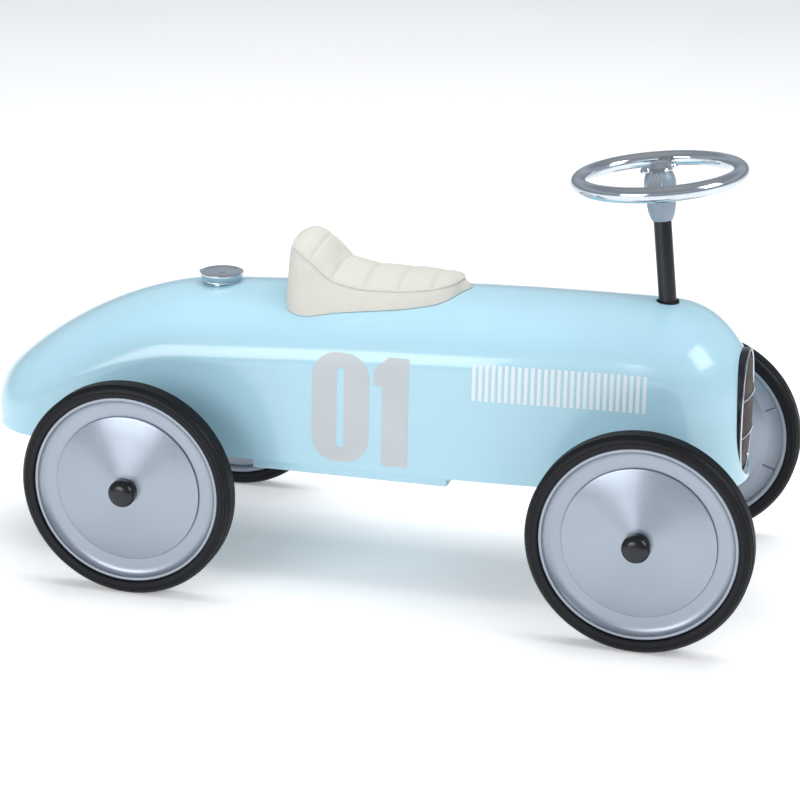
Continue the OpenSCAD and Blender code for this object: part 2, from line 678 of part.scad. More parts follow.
// Front beam with a fork at each end for the kingpins
kingpin_y = half_track - 42;
kingpin_r = 4;
fork_z0 = tyre_r - 10;
fork_z1 = tyre_r + 10;
fork_t = 4;
module front_beam() {
  color(black) difference() {
    union() {
      translate([front_x - 10, -kingpin_y + 11, tyre_r - 8]) cube([20, 2 * kingpin_y - 22, 11]);
      at_rails() translate([front_x - 10, -rail_w / 2, tyre_r + 3]) cube([20, rail_w, rail_z - tyre_r - 3]);
      for (s = [-1, 1]) {
        translate([front_x - 10, s * (kingpin_y - 14) - 3, fork_z0 - fork_t])
          cube([20, 6, 20 + 2 * fork_t]);
        for (z = [fork_z0 - fork_t, fork_z1]) translate([front_x, 0, z]) {
          translate([-10, s * (kingpin_y - 8.5) - 8.5, 0]) cube([20, 17, fork_t]);
          translate([0, s * kingpin_y, 0]) cylinder(r = 10, h = fork_t);
        }
      }
    }
    for (s = [-1, 1]) translate([front_x, s * kingpin_y, 60]) cylinder(r = kingpin_r + 0.02, h = 80);
  }
}
module kingpins() {
  color(steel) for (s = [-1, 1]) translate([front_x, s * kingpin_y, 0]) {
    translate([0, 0, fork_z0 - fork_t - 2]) cylinder(r = kingpin_r, h = 20 + 2 * fork_t + 2);
    translate([0, 0, fork_z1 + fork_t]) cylinder(r = kingpin_r + 2.5, h = 2.5);
  }
}
arm_z = tyre_r - 9;
pin_r = 2.5;
module knuckle(s) {
  y = s * kingpin_y;
  color(steel) difference() {
    union() {
      translate([front_x, y, fork_z0 + gap]) cylinder(r = 9, h = 20 - 2 * gap);
      translate([front_x, s * (kingpin_y + 8), tyre_r]) rotate([90, 0, 0])
        cylinder(r = 8.5, h = 16, center = true);
      translate([front_x - steer_arm, y - 4.5, arm_z]) cube([steer_arm - 4, 9, 4]);
      translate([front_x - steer_arm, y, arm_z]) cylinder(r = 6, h = 4);
      translate([front_x - steer_arm, y, arm_z]) cylinder(r = pin_r, h = 10);
    }
    translate([front_x, y, 60]) cylinder(r = kingpin_r + 0.06, h = 80);
    translate([front_x, s * (kingpin_y + 11), tyre_r]) rotate([90, 0, 0])
      cylinder(r = axle_r + 0.02, h = 12, center = true);
  }
}
module knuckle_left() { knuckle(1); }
module knuckle_right() { knuckle(-1); }
module stub_axle(s) {
  y0 = kingpin_y + 6;
  y1 = half_track + nut_a + 4;
  c0 = kingpin_y + 16.1;
  c1 = half_track - bush_half - gap;
  color(steel) translate([front_x, 0, tyre_r]) {
    translate([0, s * (y0 + y1) / 2, 0]) rotate([90, 0, 0])
      cylinder(r = axle_r, h = y1 - y0, center = true);
    translate([0, s * (c0 + c1) / 2, 0]) rotate([90, 0, 0])
      cylinder(r = 8, h = c1 - c0, center = true);
  }
}
module stub_axle_left() { stub_axle(1); }
module stub_axle_right() { stub_axle(-1); }
module front_hub_nut_left() { hub_nut(front_x, 1); }
module front_hub_nut_right() { hub_nut(front_x, -1); }

module steering_column() {
  color(black) on_column() translate([0, 0, foot_d]) cylinder(r = column_r, h = -foot_d - 12);
}
// Grey fluted boss that carries the steering wheel
module steering_hub() {
  color(silver) on_column() difference() {
    rotate_extrude($fn = 96) polygon([
      [column_r + 0.03, -39.5], [9.6, -39.5], [12.2, -30], [13.2, -23], [14.3, -9],
      [14, -2], [10.5, 5.5], [0, 5.5], [0, -11.5], [column_r + 0.03, -11.5]]);
    for (i = [0:17]) rotate([0, 0, 20 * i]) translate([14.9, 0, -24]) cylinder(r = 1.2, h = 28, $fn = 16);
    at_hub_screw() cylinder(r = 3.1, h = 5);
  }
}
module at_hub_screw() {
  rotate([0, 0, -100]) translate([12.6, 0, -19]) rotate([0, 90, 0]) children();
}
arm_turn = 95;
ear_turn = 40;
module steering_ring() {
  crown_z = 5.7;
  drop = 7;
  arm_len = ring_r - 4;
  color(chrome) on_column() {
    rotate_extrude($fn = 96) translate([ring_r, 0]) circle(r = ring_tube_r, $fn = 40);
    translate([0, 0, crown_z]) cylinder(r1 = 12.5, r2 = 10.5, h = 4);
    translate([0, 0, crown_z + 4]) cylinder(r1 = 8.5, r2 = 6, h = 3.5);
    for (a = [arm_turn, arm_turn + 180]) rotate([0, 0, a]) translate([8, -6.5, crown_z + 0.1])
      rotate([0, asin(drop / arm_len), 0]) cube([arm_len - 7, 13, 4]);
    for (a = [ear_turn, ear_turn + 180]) rotate([0, 0, a]) {
      translate([13.5, 0, crown_z]) cylinder(r = 5, h = 4.4);
      translate([4, -5, crown_z]) cube([9.5, 10, 4.4]);
    }
  }
}
module hub_screw() {
  color(steel) on_column() at_hub_screw() cylinder(r = 3, h = 2.6);
}
module drop_arm() {
  color(steel) on_column() difference() {
    union() {
      translate([0, 0, drop_d - 3]) cylinder(r = 13, h = 6);
      translate([-steer_arm, -5, drop_d - 3]) cube([steer_arm, 10, 6]);
      translate([-steer_arm, 0, drop_d - 3]) cylinder(r = 6.5, h = 6);
      translate([-steer_arm, 0, drop_d - 10]) cylinder(r = pin_r, h = 9);
    }
    translate([0, 0, drop_d - 10]) cylinder(r = column_r + 0.02, h = 20);
  }
}
// Flat bar between the steering arms; its pin holes are slots along X
rod_z = arm_z + 4.4;
rod_t = 3;
slot_r = 3.2;
slot_run = 4.3;
module slot(x, y) {
  translate([x, y, rod_z - 1]) cylinder(r = slot_r, h = rod_t + 2);
  translate([x + slot_run, y, rod_z - 1]) cylinder(r = slot_r, h = rod_t + 2);
  translate([x, y - slot_r, rod_z - 1]) cube([slot_run, 2 * slot_r, rod_t + 2]);
}
module tie_rod() {
  arm_x = front_x - steer_arm;
  tab = column_point(drop_d) - steer_arm * [cos(column_lean), 0, sin(column_lean)];
  pin_x = tab[0] + 7 * sin(column_lean);
  color(steel) difference() {
    union() {
      translate([arm_x - 7, -kingpin_y - 9, rod_z]) cube([18, 2 * kingpin_y + 18, rod_t]);
      translate([arm_x - 7, -12, rod_z]) cube([pin_x - arm_x + 19, 24, rod_t]);
    }
    for (s = [-1, 1]) slot(arm_x, s * kingpin_y);
    slot(pin_x, 0);
  }
}

module front_left_tyre() { tyre(front_x, 1); }
module front_left_rim() { rim(front_x, 1); }
module front_left_disc() { hub_disc(front_x, 1); }
module front_left_bush() { bush(front_x, 1); }
module front_right_tyre() { tyre(front_x, -1); }
module front_right_rim() { rim(front_x, -1); }
module front_right_disc() { hub_disc(front_x, -1); }
module front_right_bush() { bush(front_x, -1); }
module rear_left_tyre() { tyre(rear_x, 1); }
module rear_left_rim() { rim(rear_x, 1); }
module rear_left_disc() { hub_disc(rear_x, 1); }
module rear_left_bush() { bush(rear_x, 1); }
module rear_right_tyre() { tyre(rear_x, -1); }
module rear_right_rim() { rim(rear_x, -1); }
module rear_right_disc() { hub_disc(rear_x, -1); }
module rear_right_bush() { bush(rear_x, -1); }

body_shell();
floor_pan();
rail_left();
rail_right();
front_cross_plate();
rear_cross_plate();
hood_brace();
seat_base();
seat_cushion();
seat_studs();
filler_neck();
filler_cap();
grille_housing();
grille_mesh();
grille_trim();
grille_bars();
louvre_foils();
number_foils();
column_grommet();
upper_column_bearing();
lower_column_bearing();
pan_screws();
frame_bolts();
rear_axle();
rear_axle_spacers();
axle_bracket_left();
axle_bracket_right();
rear_hub_nuts();
front_beam();
kingpins();
steering_column();
steering_ring();
steering_hub();
hub_screw();
drop_arm();
tie_rod();
knuckle_left();
knuckle_right();
stub_axle_left();
stub_axle_right();
front_hub_nut_left();
front_hub_nut_right();
front_left_tyre();
front_left_rim();
front_left_disc();
front_left_bush();
front_right_tyre();
front_right_rim();
front_right_disc();
front_right_bush();
rear_left_tyre();
rear_left_rim();
rear_left_disc();
rear_left_bush();
rear_right_tyre();
rear_right_rim();
rear_right_disc();
rear_right_bush();
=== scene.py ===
"""A child's ride-on racing car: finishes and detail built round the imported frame."""

import json
import logging
import math
from dataclasses import dataclass
from enum import Enum
from typing import Callable, Iterable, Sequence

import bmesh
import bpy
from mathutils import Matrix, Vector, bvhtree


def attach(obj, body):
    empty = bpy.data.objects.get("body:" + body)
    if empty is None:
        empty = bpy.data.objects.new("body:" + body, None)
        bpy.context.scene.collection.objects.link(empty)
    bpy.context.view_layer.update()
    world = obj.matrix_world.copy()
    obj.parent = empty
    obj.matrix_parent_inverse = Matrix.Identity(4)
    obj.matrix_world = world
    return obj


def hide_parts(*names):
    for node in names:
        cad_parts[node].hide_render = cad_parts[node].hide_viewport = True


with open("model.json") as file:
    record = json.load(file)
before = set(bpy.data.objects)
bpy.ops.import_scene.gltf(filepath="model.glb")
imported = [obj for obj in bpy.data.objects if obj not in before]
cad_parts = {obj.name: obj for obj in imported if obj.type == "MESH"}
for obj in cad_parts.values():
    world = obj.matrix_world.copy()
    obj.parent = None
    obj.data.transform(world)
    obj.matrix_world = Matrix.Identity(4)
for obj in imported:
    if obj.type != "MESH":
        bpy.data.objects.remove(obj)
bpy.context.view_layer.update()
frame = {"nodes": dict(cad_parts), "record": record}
LOG = logging.getLogger("ride_on")
Pair = tuple[float, float]
Triple = tuple[float, float, float]


# ---------------------------------------------------------------- shader sums


class Value:
    """A shader socket that takes part in Python sums."""

    def __init__(self, tree: bpy.types.NodeTree, socket: bpy.types.NodeSocket) -> None:
        """Wraps one output socket of a node tree."""
        self.tree = tree
        self.socket = socket

    def _sum(self, operation: str, first: object, second: object = None,
             clamp: bool = False) -> "Value":
        """Adds one Math node.

        Args:
            operation: the Math node's operation.
            first: a value or a number.
            second: a value or a number, or None for a one-sided operation.
            clamp: holds the result between 0 and 1.

        Returns:
            The node's result.
        """
        node = self.tree.nodes.new("ShaderNodeMath")
        node.operation = operation
        node.use_clamp = clamp
        for index, term in enumerate((first, second)):
            if isinstance(term, Value):
                self.tree.links.new(term.socket, node.inputs[index])
            elif term is not None:
                node.inputs[index].default_value = term
        return Value(self.tree, node.outputs[0])

    def __add__(self, other: object) -> "Value":
        """Sum."""
        return self._sum("ADD", self, other)

    __radd__ = __add__

    def __sub__(self, other: object) -> "Value":
        """Difference."""
        return self._sum("SUBTRACT", self, other)

    def __rsub__(self, other: object) -> "Value":
        """Difference with the number first."""
        return self._sum("SUBTRACT", other, self)

    def __mul__(self, other: object) -> "Value":
        """Product."""
        return self._sum("MULTIPLY", self, other)

    __rmul__ = __mul__

    def __truediv__(self, other: object) -> "Value":
        """Quotient."""
        return self._sum("DIVIDE", self, other)

    def __rtruediv__(self, other: object) -> "Value":
        """Quotient with the number first."""
        return self._sum("DIVIDE", other, self)

    def __pow__(self, other: object) -> "Value":
        """Power."""
        return self._sum("POWER", self, other)

    def sine(self) -> "Value":
        """Sine."""
        return self._sum("SINE", self)

    def root(self) -> "Value":
        """Square root."""
        return self._sum("SQRT", self)

    def held(self) -> "Value":
        """Held between 0 and 1."""
        return self._sum("ADD", self, 0.0, clamp=True)


class Recipe:
    """One procedural material while it is being mixed."""

    def __init__(self, name: str) -> None:
        """Starts an empty material that ends in one shader."""
        self.material = bpy.data.materials.new(name)
        self.material.use_nodes = True
        self.tree = self.material.node_tree
        self.tree.nodes.clear()
        self.shader = self.tree.nodes.new("ShaderNodeBsdfPrincipled")
        output = self.tree.nodes.new("ShaderNodeOutputMaterial")
        self.tree.links.new(self.shader.outputs[0], output.inputs["Surface"])
        self.place = self.node("ShaderNodeTexCoord").outputs["Object"]

    def node(self, kind: str, settings: dict | None = None,
             inputs: dict | None = None) -> bpy.types.Node:
        """Adds any node.

        Args:
            kind: the node's type.
            settings: attributes that are set first; "stops" fills a colour ramp.
            inputs: socket name or number to a value, a socket or a Value.

        Returns:
            The new node.
        """
        node = self.tree.nodes.new(kind)
        for name, setting in (settings or {}).items():
            if name == "stops":
                ramp = node.color_ramp
                while len(ramp.elements) < len(setting):
                    ramp.elements.new(0.5)
                for element, (at, colour) in zip(ramp.elements, setting):
                    element.position = at
                    element.color = (*colour, 1.0)
            else:
                setattr(node, name, setting)
        for name, term in (inputs or {}).items():
            if isinstance(term, Value):
                self.tree.links.new(term.socket, node.inputs[name])
            elif isinstance(term, bpy.types.NodeSocket):
                self.tree.links.new(term, node.inputs[name])
            else:
                node.inputs[name].default_value = term
        return node

    def noise(self, scale: float, detail: float = 2.0, stretch: Triple = (1.0, 1.0, 1.0)) -> Value:
        """Noise from 0 to 1 fixed to the piece.

        Args:
            scale: how fine it is, in waves a metre.
            detail: how many octaves it has.
            stretch: scale of each axis.

        Returns:
            The noise.
        """
        place = self.node("ShaderNodeMapping", inputs={"Vector": self.place, "Scale": stretch})
        node = self.node("ShaderNodeTexNoise",
                         inputs={"Vector": place.outputs[0], "Scale": scale, "Detail": detail})
        return Value(self.tree, node.outputs[0])

    def cells(self, scale: float) -> Value:
        """Distance to the nearest cell edge of a pebbled pattern."""
        node = self.node(
            "ShaderNodeTexVoronoi", {"feature": "DISTANCE_TO_EDGE"},
            {"Vector": self.place, "Scale": scale}
        )
        return Value(self.tree, node.outputs[0])

    def axis(self, index: int, centre: Triple = (0.0, 0.0, 0.0)) -> Value:
        """Distance along X, Y or Z from a centre."""
        node = self.node(
            "ShaderNodeSeparateXYZ",
            inputs={0: self.node("ShaderNodeVectorMath", {"operation": "SUBTRACT"},
                                 {0: self.place, 1: centre}).outputs[0]},
        )
        return Value(self.tree, node.outputs[index])

    def blend(self, mask: Value, low: Triple, high: Triple) -> bpy.types.NodeSocket:
        """Mixes two colours.

        Args:
            mask: 0 gives low and 1 gives high.
            low: the first colour.
            high: the second colour.

        Returns:
            The mixed colour's socket.
        """
        node = self.node("ShaderNodeMix", {"data_type": "RGBA"},
                         {0: mask, 6: (*low, 1.0), 7: (*high, 1.0)})
        return node.outputs[2]

    def bump(self, height: Value, depth: float, strength: float = 1.0) -> bpy.types.NodeSocket:
        """Turns a height from 0 to 1 into a normal.

        Args:
            height: the height.
            depth: the height of 1, in metres.
            strength: how much of the bump shows.

        Returns:
            The normal's socket.
        """
        node = self.node("ShaderNodeBump",
                         inputs={"Height": height, "Distance": depth, "Strength": strength})
        return node.outputs[0]

    def finish(self, **sockets: object) -> bpy.types.Material:
        """Sets the shader's sockets; an underscore in a name stands for a space.

        Args:
            sockets: socket name to a value, a socket or a Value.

        Returns:
            The finished material.
        """
        for name, term in sockets.items():
            socket = self.shader.inputs[name.replace("_", " ")]
            if isinstance(term, Value):
                self.tree.links.new(term.socket, socket)
            elif isinstance(term, bpy.types.NodeSocket):
                self.tree.links.new(term, socket)
            elif isinstance(term, tuple) and len(term) == 3 and socket.type == "RGBA":
                socket.default_value = (*term, 1.0)
            else:
                socket.default_value = term
        return self.material


# ---------------------------------------------------------------- finishes


@dataclass(frozen=True)
class Enamel:
    """Stoved gloss paint with a clear surface and a slight orange peel."""

    name: str
    colour: Triple
    shade: Triple
    roughness: float = 0.22
    coat: float = 0.6
    peel: float = 0.00002

    def mix(self) -> bpy.types.Material:
        """Makes the paint."""
        recipe = Recipe(self.name)
        drift = recipe.noise(7.0, 3.0)
        dust = recipe.noise(26.0, 3.0)
        # Darker and rougher towards the bottom: strongest below 0.1 m in the piece's own coordinates,
        # fading out by about 0.17 m
        low = (1.0 - (recipe.axis(2) - 0.1) * 14.0).held()
        peel = recipe.noise(420.0, 1.0)
        return recipe.finish(
            Base_Color=recipe.blend((drift * 0.55 + low * 0.35).held(), self.colour, self.shade),
            Roughness=dust * 0.04 + low * 0.03 + self.roughness,
            Normal=recipe.bump(peel, self.peel),
            Coat_Weight=self.coat,
            Coat_Roughness=0.07,
            Specular_IOR_Level=0.45,
        )


@dataclass(frozen=True)
class Vinyl:
    """Leather-look vinyl with a fine pebbled grain."""

    name: str
    colour: Triple
    shade: Triple
    grain: float = 620.0

    def mix(self) -> bpy.types.Material:
        """Makes the vinyl."""
        recipe = Recipe(self.name)
        cells = (recipe.cells(self.grain) * 6.0).held()
        folds = recipe.noise(55.0, 3.0)
        rub = (recipe.noise(22.0, 2.0) * 2.4 - 0.9).held()
        return recipe.finish(
            Base_Color=recipe.blend((rub * 0.7 + (1.0 - cells) * 0.3).held(), self.colour,
                                    self.shade),
            Roughness=rub * 0.08 + (1.0 - cells) * 0.12 + 0.46,
            Normal=recipe.bump(cells * 0.12 + folds * 0.88, 0.0009),
            Specular_IOR_Level=0.4,
            Sheen_Weight=0.08,
        )


@dataclass(frozen=True)
class Rubber:
    """Black rubber with a matt bloom and faint moulding marks."""

    name: str
    colour: Triple
    bloom: Triple
    roughness: float = 0.42

    def mix(self) -> bpy.types.Material:
        """Makes the rubber."""
        recipe = Recipe(self.name)
        bloom = (recipe.noise(28.0, 5.0) * 2.2 - 0.7).held()
        specks = recipe.noise(900.0, 2.0)
        return recipe.finish(
            Base_Color=recipe.blend(bloom * 0.5 + specks * 0.2, self.colour, self.bloom),
            Roughness=bloom * 0.14 + self.roughness,
            Normal=recipe.bump(specks, 0.00006),
            Specular_IOR_Level=0.28,
        )


@dataclass(frozen=True)
class Plated:
    """Polished plating with the faintest haze, or a bare metal when rough."""

    name: str
    colour: Triple
    shade: Triple
    roughness: float = 0.06
    haze: float = 0.1
    ripple: float = 0.00002

    def mix(self) -> bpy.types.Material:
        """Makes the plating."""
        recipe = Recipe(self.name)
        haze = (recipe.noise(45.0, 4.0) * 2.0 - 0.7).held()
        return recipe.finish(
            Base_Color=recipe.blend(haze, self.colour, self.shade),
            Roughness=haze * self.haze + self.roughness,
            Normal=recipe.bump(recipe.noise(160.0, 2.0), self.ripple),
            Metallic=1.0,
        )


@dataclass(frozen=True)
class Lacquer:
    """Satin silver lacquer with a very fine metallic fleck."""

    name: str
    colour: Triple
    shade: Triple
    roughness: float = 0.34
    metal: float = 0.75

    def mix(self) -> bpy.types.Material:
        """Makes the lacquer."""
        recipe = Recipe(self.name)
        fleck = recipe.noise(2600.0, 1.0)
        drift = recipe.noise(24.0, 3.0)
        return recipe.finish(
            Base_Color=recipe.blend((fleck * 0.7 + drift * 0.3).held(), self.colour, self.shade),
            Roughness=drift * 0.08 + self.roughness,
            Normal=recipe.bump(fleck, 0.00002),
            Metallic=self.metal,
            Coat_Weight=0.15,
            Coat_Roughness=0.2,
        )


@dataclass(frozen=True)
class SpunMetal:
    """Metal turned on a lathe: fine rings round an axle along Y."""

    name: str
    colour: Triple
    shade: Triple
    centre: Triple
    pitch: float = 0.0007

    def mix(self) -> bpy.types.Material:
        """Makes the spun metal."""
        recipe = Recipe(self.name)
        across, up = recipe.axis(0, self.centre), recipe.axis(2, self.centre)
        radius = (across * across + up * up).root()
        rings = (radius * (2.0 * math.pi / self.pitch)).sine() * 0.5 + 0.5
        uneven = recipe.noise(35.0, 3.0)
        return recipe.finish(
            Base_Color=recipe.blend(rings * 0.5 + uneven * 0.3, self.colour, self.shade),
            Roughness=uneven * 0.05 + 0.19,
            Normal=recipe.bump(rings, 0.00004),
            Metallic=1.0,
        )


@dataclass(frozen=True)
class Moulding:
    """Moulded plastic with a slightly pebbled satin skin."""

    name: str
    colour: Triple
    shade: Triple
    roughness: float = 0.35
    grain: float = 0.00003

    def mix(self) -> bpy.types.Material:
        """Makes the plastic."""
        recipe = Recipe(self.name)
        grain = recipe.noise(1400.0, 2.0)
        drift = recipe.noise(30.0, 3.0)
        return recipe.finish(
            Base_Color=recipe.blend(drift, self.colour, self.shade),
            Roughness=drift * 0.12 + self.roughness,
            Normal=recipe.bump(grain, self.grain),
        )


@dataclass(frozen=True)
class Board:
    """Moulded plywood: long grain with darker streaks."""

    name: str
    colour: Triple
    shade: Triple

    def mix(self) -> bpy.types.Material:
        """Makes the board."""
        recipe = Recipe(self.name)
        streak = recipe.noise(90.0, 5.0, (0.12, 1.0, 1.0))
        return recipe.finish(
            Base_Color=recipe.blend(streak, self.colour, self.shade),
            Roughness=streak * 0.2 + 0.5,
            Normal=recipe.bump(streak, 0.0002),
        )


class Paint(Enum):
    """Every finish on the car, by the record's slot."""

    BODY = "body_paint"
    SEAT = "seat_vinyl"
    TYRE = "tyre_rubber"
    RIM = "rim_silver"
    DISC = "spun_metal"
    PLASTIC = "black_plastic"
    GROMMET = "grommet_rubber"
    CHROME = "chrome"
    HUB = "hub_grey"
    WIRE = "grille_wire"
    FOIL = "silver_foil"
    HOUSING = "housing_black"
    ZINC = "zinc_steel"
    BOARD = "seat_board"
    BLACK = "black_paint"


FINISHES = {
    Paint.BODY: Enamel("light_blue_enamel", (0.44, 0.69, 0.80), (0.39, 0.65, 0.76)),
    Paint.SEAT: Vinyl("cream_vinyl", (0.70, 0.685, 0.615), (0.64, 0.63, 0.57)),
    Paint.TYRE: Rubber("tyre_black", (0.0025, 0.003, 0.005), (0.007, 0.008, 0.011)),
    Paint.RIM: Lacquer("wheel_silver", (0.38, 0.42, 0.48), (0.32, 0.36, 0.42)),
    Paint.PLASTIC: Moulding("black_moulding", (0.0025, 0.003, 0.005), (0.006, 0.007, 0.010), 0.2),
    Paint.GROMMET: Rubber("grommet_black", (0.008, 0.008, 0.009), (0.02, 0.02, 0.02), 0.55),
    Paint.CHROME: Plated("polished_chrome", (0.66, 0.71, 0.76), (0.56, 0.61, 0.67)),
    Paint.HUB: Lacquer("boss_grey", (0.30, 0.36, 0.43), (0.25, 0.31, 0.38), 0.38, 0.35),
    Paint.WIRE: Plated("grille_wire", (0.20, 0.18, 0.17), (0.12, 0.11, 0.10), 0.35, 0.2),
    Paint.FOIL: Moulding("silver_foil", (0.56, 0.59, 0.61), (0.50, 0.53, 0.55), 0.4, 0.00001),
    Paint.HOUSING: Enamel("housing_black", (0.008, 0.009, 0.014), (0.012, 0.013, 0.02), 0.2, 0.4),
    Paint.ZINC: Plated("zinc_plate", (0.48, 0.49, 0.50), (0.38, 0.39, 0.40), 0.3, 0.2),
    Paint.BOARD: Board("seat_plywood", (0.42, 0.29, 0.17), (0.28, 0.18, 0.10)),
    Paint.BLACK: Enamel("satin_black", (0.0035, 0.0045, 0.008), (0.007, 0.009, 0.013), 0.32, 0.1),
}


class PaintShop:
    """Mixes each finish once and gives it out."""

    def __init__(self) -> None:
        """Starts with nothing mixed."""
        self.mixed: dict[str, bpy.types.Material] = {}

    def get(self, paint: Paint) -> bpy.types.Material:
        """The material of a finish."""
        return self.take(FINISHES[paint])

    def take(self, finish: object) -> bpy.types.Material:
        """The material of a finish object, mixed the first time."""
        if finish.name not in self.mixed:
            self.mixed[finish.name] = finish.mix()
        return self.mixed[finish.name]


# ---------------------------------------------------------------- mesh tools


def lathe(profile: Sequence[Pair], steps: int = 96, rounding: float = 0.0) -> bmesh.types.BMesh:
    """Turns a profile round the Z axis.

    Args:
        profile: radius and height of each point, in metres.
        steps: facets in a full turn.
        rounding: width of the bevel on the sharp rings.

    Returns:
        The turned shape.
    """
    mesh = bmesh.new()
    points = [mesh.verts.new((radius, 0.0, height)) for radius, height in profile]
    edges = [mesh.edges.new(pair) for pair in zip(points, points[1:])]
    bmesh.ops.spin(
        mesh, geom=points + edges, cent=(0, 0, 0), axis=(0, 0, 1), angle=2 * math.pi, steps=steps,
        use_merge=True
    )
    bmesh.ops.remove_doubles(mesh, verts=mesh.verts, dist=1e-6)
    bmesh.ops.dissolve_degenerate(mesh, edges=mesh.edges, dist=1e-7)
    bmesh.ops.recalc_face_normals(mesh, faces=mesh.faces)
    if rounding:
        soften(mesh, rounding)
    return mesh


def soften(mesh: bmesh.types.BMesh, width: float, angle: float = 35.0, segments: int = 3) -> None:
    """Bevels the sharp edges of a shape.

    Args:
        mesh: the shape.
        width: width of the bevel, in metres.
        angle: sharpest angle in degrees that is left alone.
        segments: facets across the bevel.
    """
    sharp = [e for e in mesh.edges if e.is_manifold and e.calc_face_angle(0.0) > math.radians(angle)]
    bmesh.ops.bevel(
        mesh,
        geom=sharp,
        offset=width,
        offset_type="OFFSET",
        affect="EDGES",
        segments=segments,
        profile=0.5,
        material=-1,
        clamp_overlap=True,
    )


def block(low: Triple, high: Triple, rounding: float = 0.0) -> bmesh.types.BMesh:
    """A rectangular block between two corners, with softened edges."""
    mesh = bmesh.new()
    bmesh.ops.create_cube(mesh, size=1.0)
    size = [b - a for a, b in zip(low, high)]
    bmesh.ops.scale(mesh, vec=size, verts=mesh.verts)
    bmesh.ops.translate(mesh, vec=[(a + b) / 2 for a, b in zip(low, high)], verts=mesh.verts)
    if rounding:
        soften(mesh, rounding)
    return mesh


def join(*meshes: bmesh.types.BMesh) -> bmesh.types.BMesh:
    """Puts several shapes in one and frees the others."""
    whole = meshes[0]
    for part in meshes[1:]:
        held = bpy.data.meshes.new("held")
        part.to_mesh(held)
        whole.from_mesh(held)
        bpy.data.meshes.remove(held)
        part.free()
    return whole


def patch(
    rows: int, columns: int, place: Callable[[float, float], Triple | Vector],
    whole: bmesh.types.BMesh | None = None
) -> bmesh.types.BMesh:
    """A grid laid over a surface.

    Args:
        rows: squares along the first direction.
        columns: squares along the second direction.
        place: where a point goes, from its two positions between 0 and 1.
        whole: a shape to add the grid to.

    Returns:
        The shape that holds the grid.
    """
    mesh = whole or bmesh.new()
    grid = bmesh.ops.create_grid(mesh, x_segments=rows, y_segments=columns, size=1.0)
    for vert in grid["verts"]:
        vert.co = place((vert.co.x + 1) / 2, (vert.co.y + 1) / 2)
    return mesh


def as_object(mesh: bmesh.types.BMesh, name: str) -> bpy.types.Object:
    """Makes an object of a shape and frees the shape."""
    data = bpy.data.meshes.new(name)
    mesh.to_mesh(data)
    mesh.free()
    piece = bpy.data.objects.new(name, data)
    bpy.context.scene.collection.objects.link(piece)
    return piece


def settle(piece: bpy.types.Object) -> None:
    """Works a piece's modifiers into its mesh."""
    bpy.context.view_layer.update()
    graph = bpy.context.evaluated_depsgraph_get()
    solid = bpy.data.meshes.new_from_object(piece.evaluated_get(graph))
    piece.modifiers.clear()
    old = piece.data
    piece.data = solid
    bpy.data.meshes.remove(old)


def cut(piece: bpy.types.Object, cutter: bmesh.types.BMesh) -> None:
    """Cuts a shape out of a piece."""
    tool = as_object(cutter, "cutter")
    modifier = piece.modifiers.new("cut", "BOOLEAN")
    modifier.operation = "DIFFERENCE"
    modifier.solver = "EXACT"
    modifier.object = tool
    settle(piece)
    bpy.data.objects.remove(tool)


def tubes(paths: Iterable[Sequence[Vector]], radius: float, sides: int = 1,
          closed: bool = False) -> bmesh.types.BMesh:
    """Round wires along paths.

    Args:
        paths: the points of each wire.
        radius: radius of a wire.
        sides: roundness of a wire's section.
        closed: whether each path is a loop.

    Returns:
        The wires in one shape.
    """
    curve = bpy.data.curves.new("wire", "CURVE")
    curve.dimensions = "3D"
    curve.bevel_depth = radius
    curve.bevel_resolution = sides
    curve.use_fill_caps = True
    for path in paths:
        spline = curve.splines.new("POLY")
        spline.points.add(len(path) - 1)
        for point, at in zip(spline.points, path):
            point.co = (*at, 1.0)
        spline.use_cyclic_u = closed
    holder = bpy.data.objects.new("wire", curve)
    bpy.context.scene.collection.objects.link(holder)
    bpy.context.view_layer.update()
    drawn = bpy.data.meshes.new_from_object(
        holder.evaluated_get(bpy.context.evaluated_depsgraph_get())
    )
    mesh = bmesh.new()
    mesh.from_mesh(drawn)
    bpy.data.objects.remove(holder)
    bpy.data.curves.remove(curve)
    bpy.data.meshes.remove(drawn)
    bmesh.ops.remove_doubles(mesh, verts=mesh.verts, dist=1e-7)
    bmesh.ops.recalc_face_normals(mesh, faces=mesh.faces)
    return mesh


@dataclass
class Assembler:
    """Turns shapes into finished pieces that ride on the frame."""

    shop: PaintShop
    crease: float = 32.0

    def fit(
        self,
        piece: bpy.types.Object,
        paint: Paint,
        body: str,
        nodes: Sequence[str] = (),
        finish: object | None = None,
    ) -> bpy.types.Object:
        """Paints a piece and puts it on its body.

        Args:
            piece: the piece, in place.
            paint: its finish and slot.
            body: the body that it rides on.
            nodes: frame nodes that it stands for.
            finish: a finish of its own in place of the slot's.

        Returns:
            The piece.
        """
        piece.data.materials.clear()
        piece.data.materials.append(self.shop.take(finish) if finish else self.shop.get(paint))
        for polygon in piece.data.polygons:
            polygon.use_smooth = True
            polygon.material_index = 0
        piece.data.set_sharp_from_angle(angle=math.radians(self.crease))
        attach(piece, body)
        if nodes:
            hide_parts(*nodes)
        LOG.info("%s: %d faces on %s", piece.name, len(piece.data.polygons), body)
        return piece

    def make(
        self,
        name: str,
        mesh: bmesh.types.BMesh,
        paint: Paint,
        body: str,
        nodes: Sequence[str] = (),
        finish: object | None = None,
    ) -> bpy.types.Object:
        """Makes an object of a shape and fits it, as fit does."""
        return self.fit(as_object(mesh, name), paint, body, nodes, finish)


# ---------------------------------------------------------------- body form


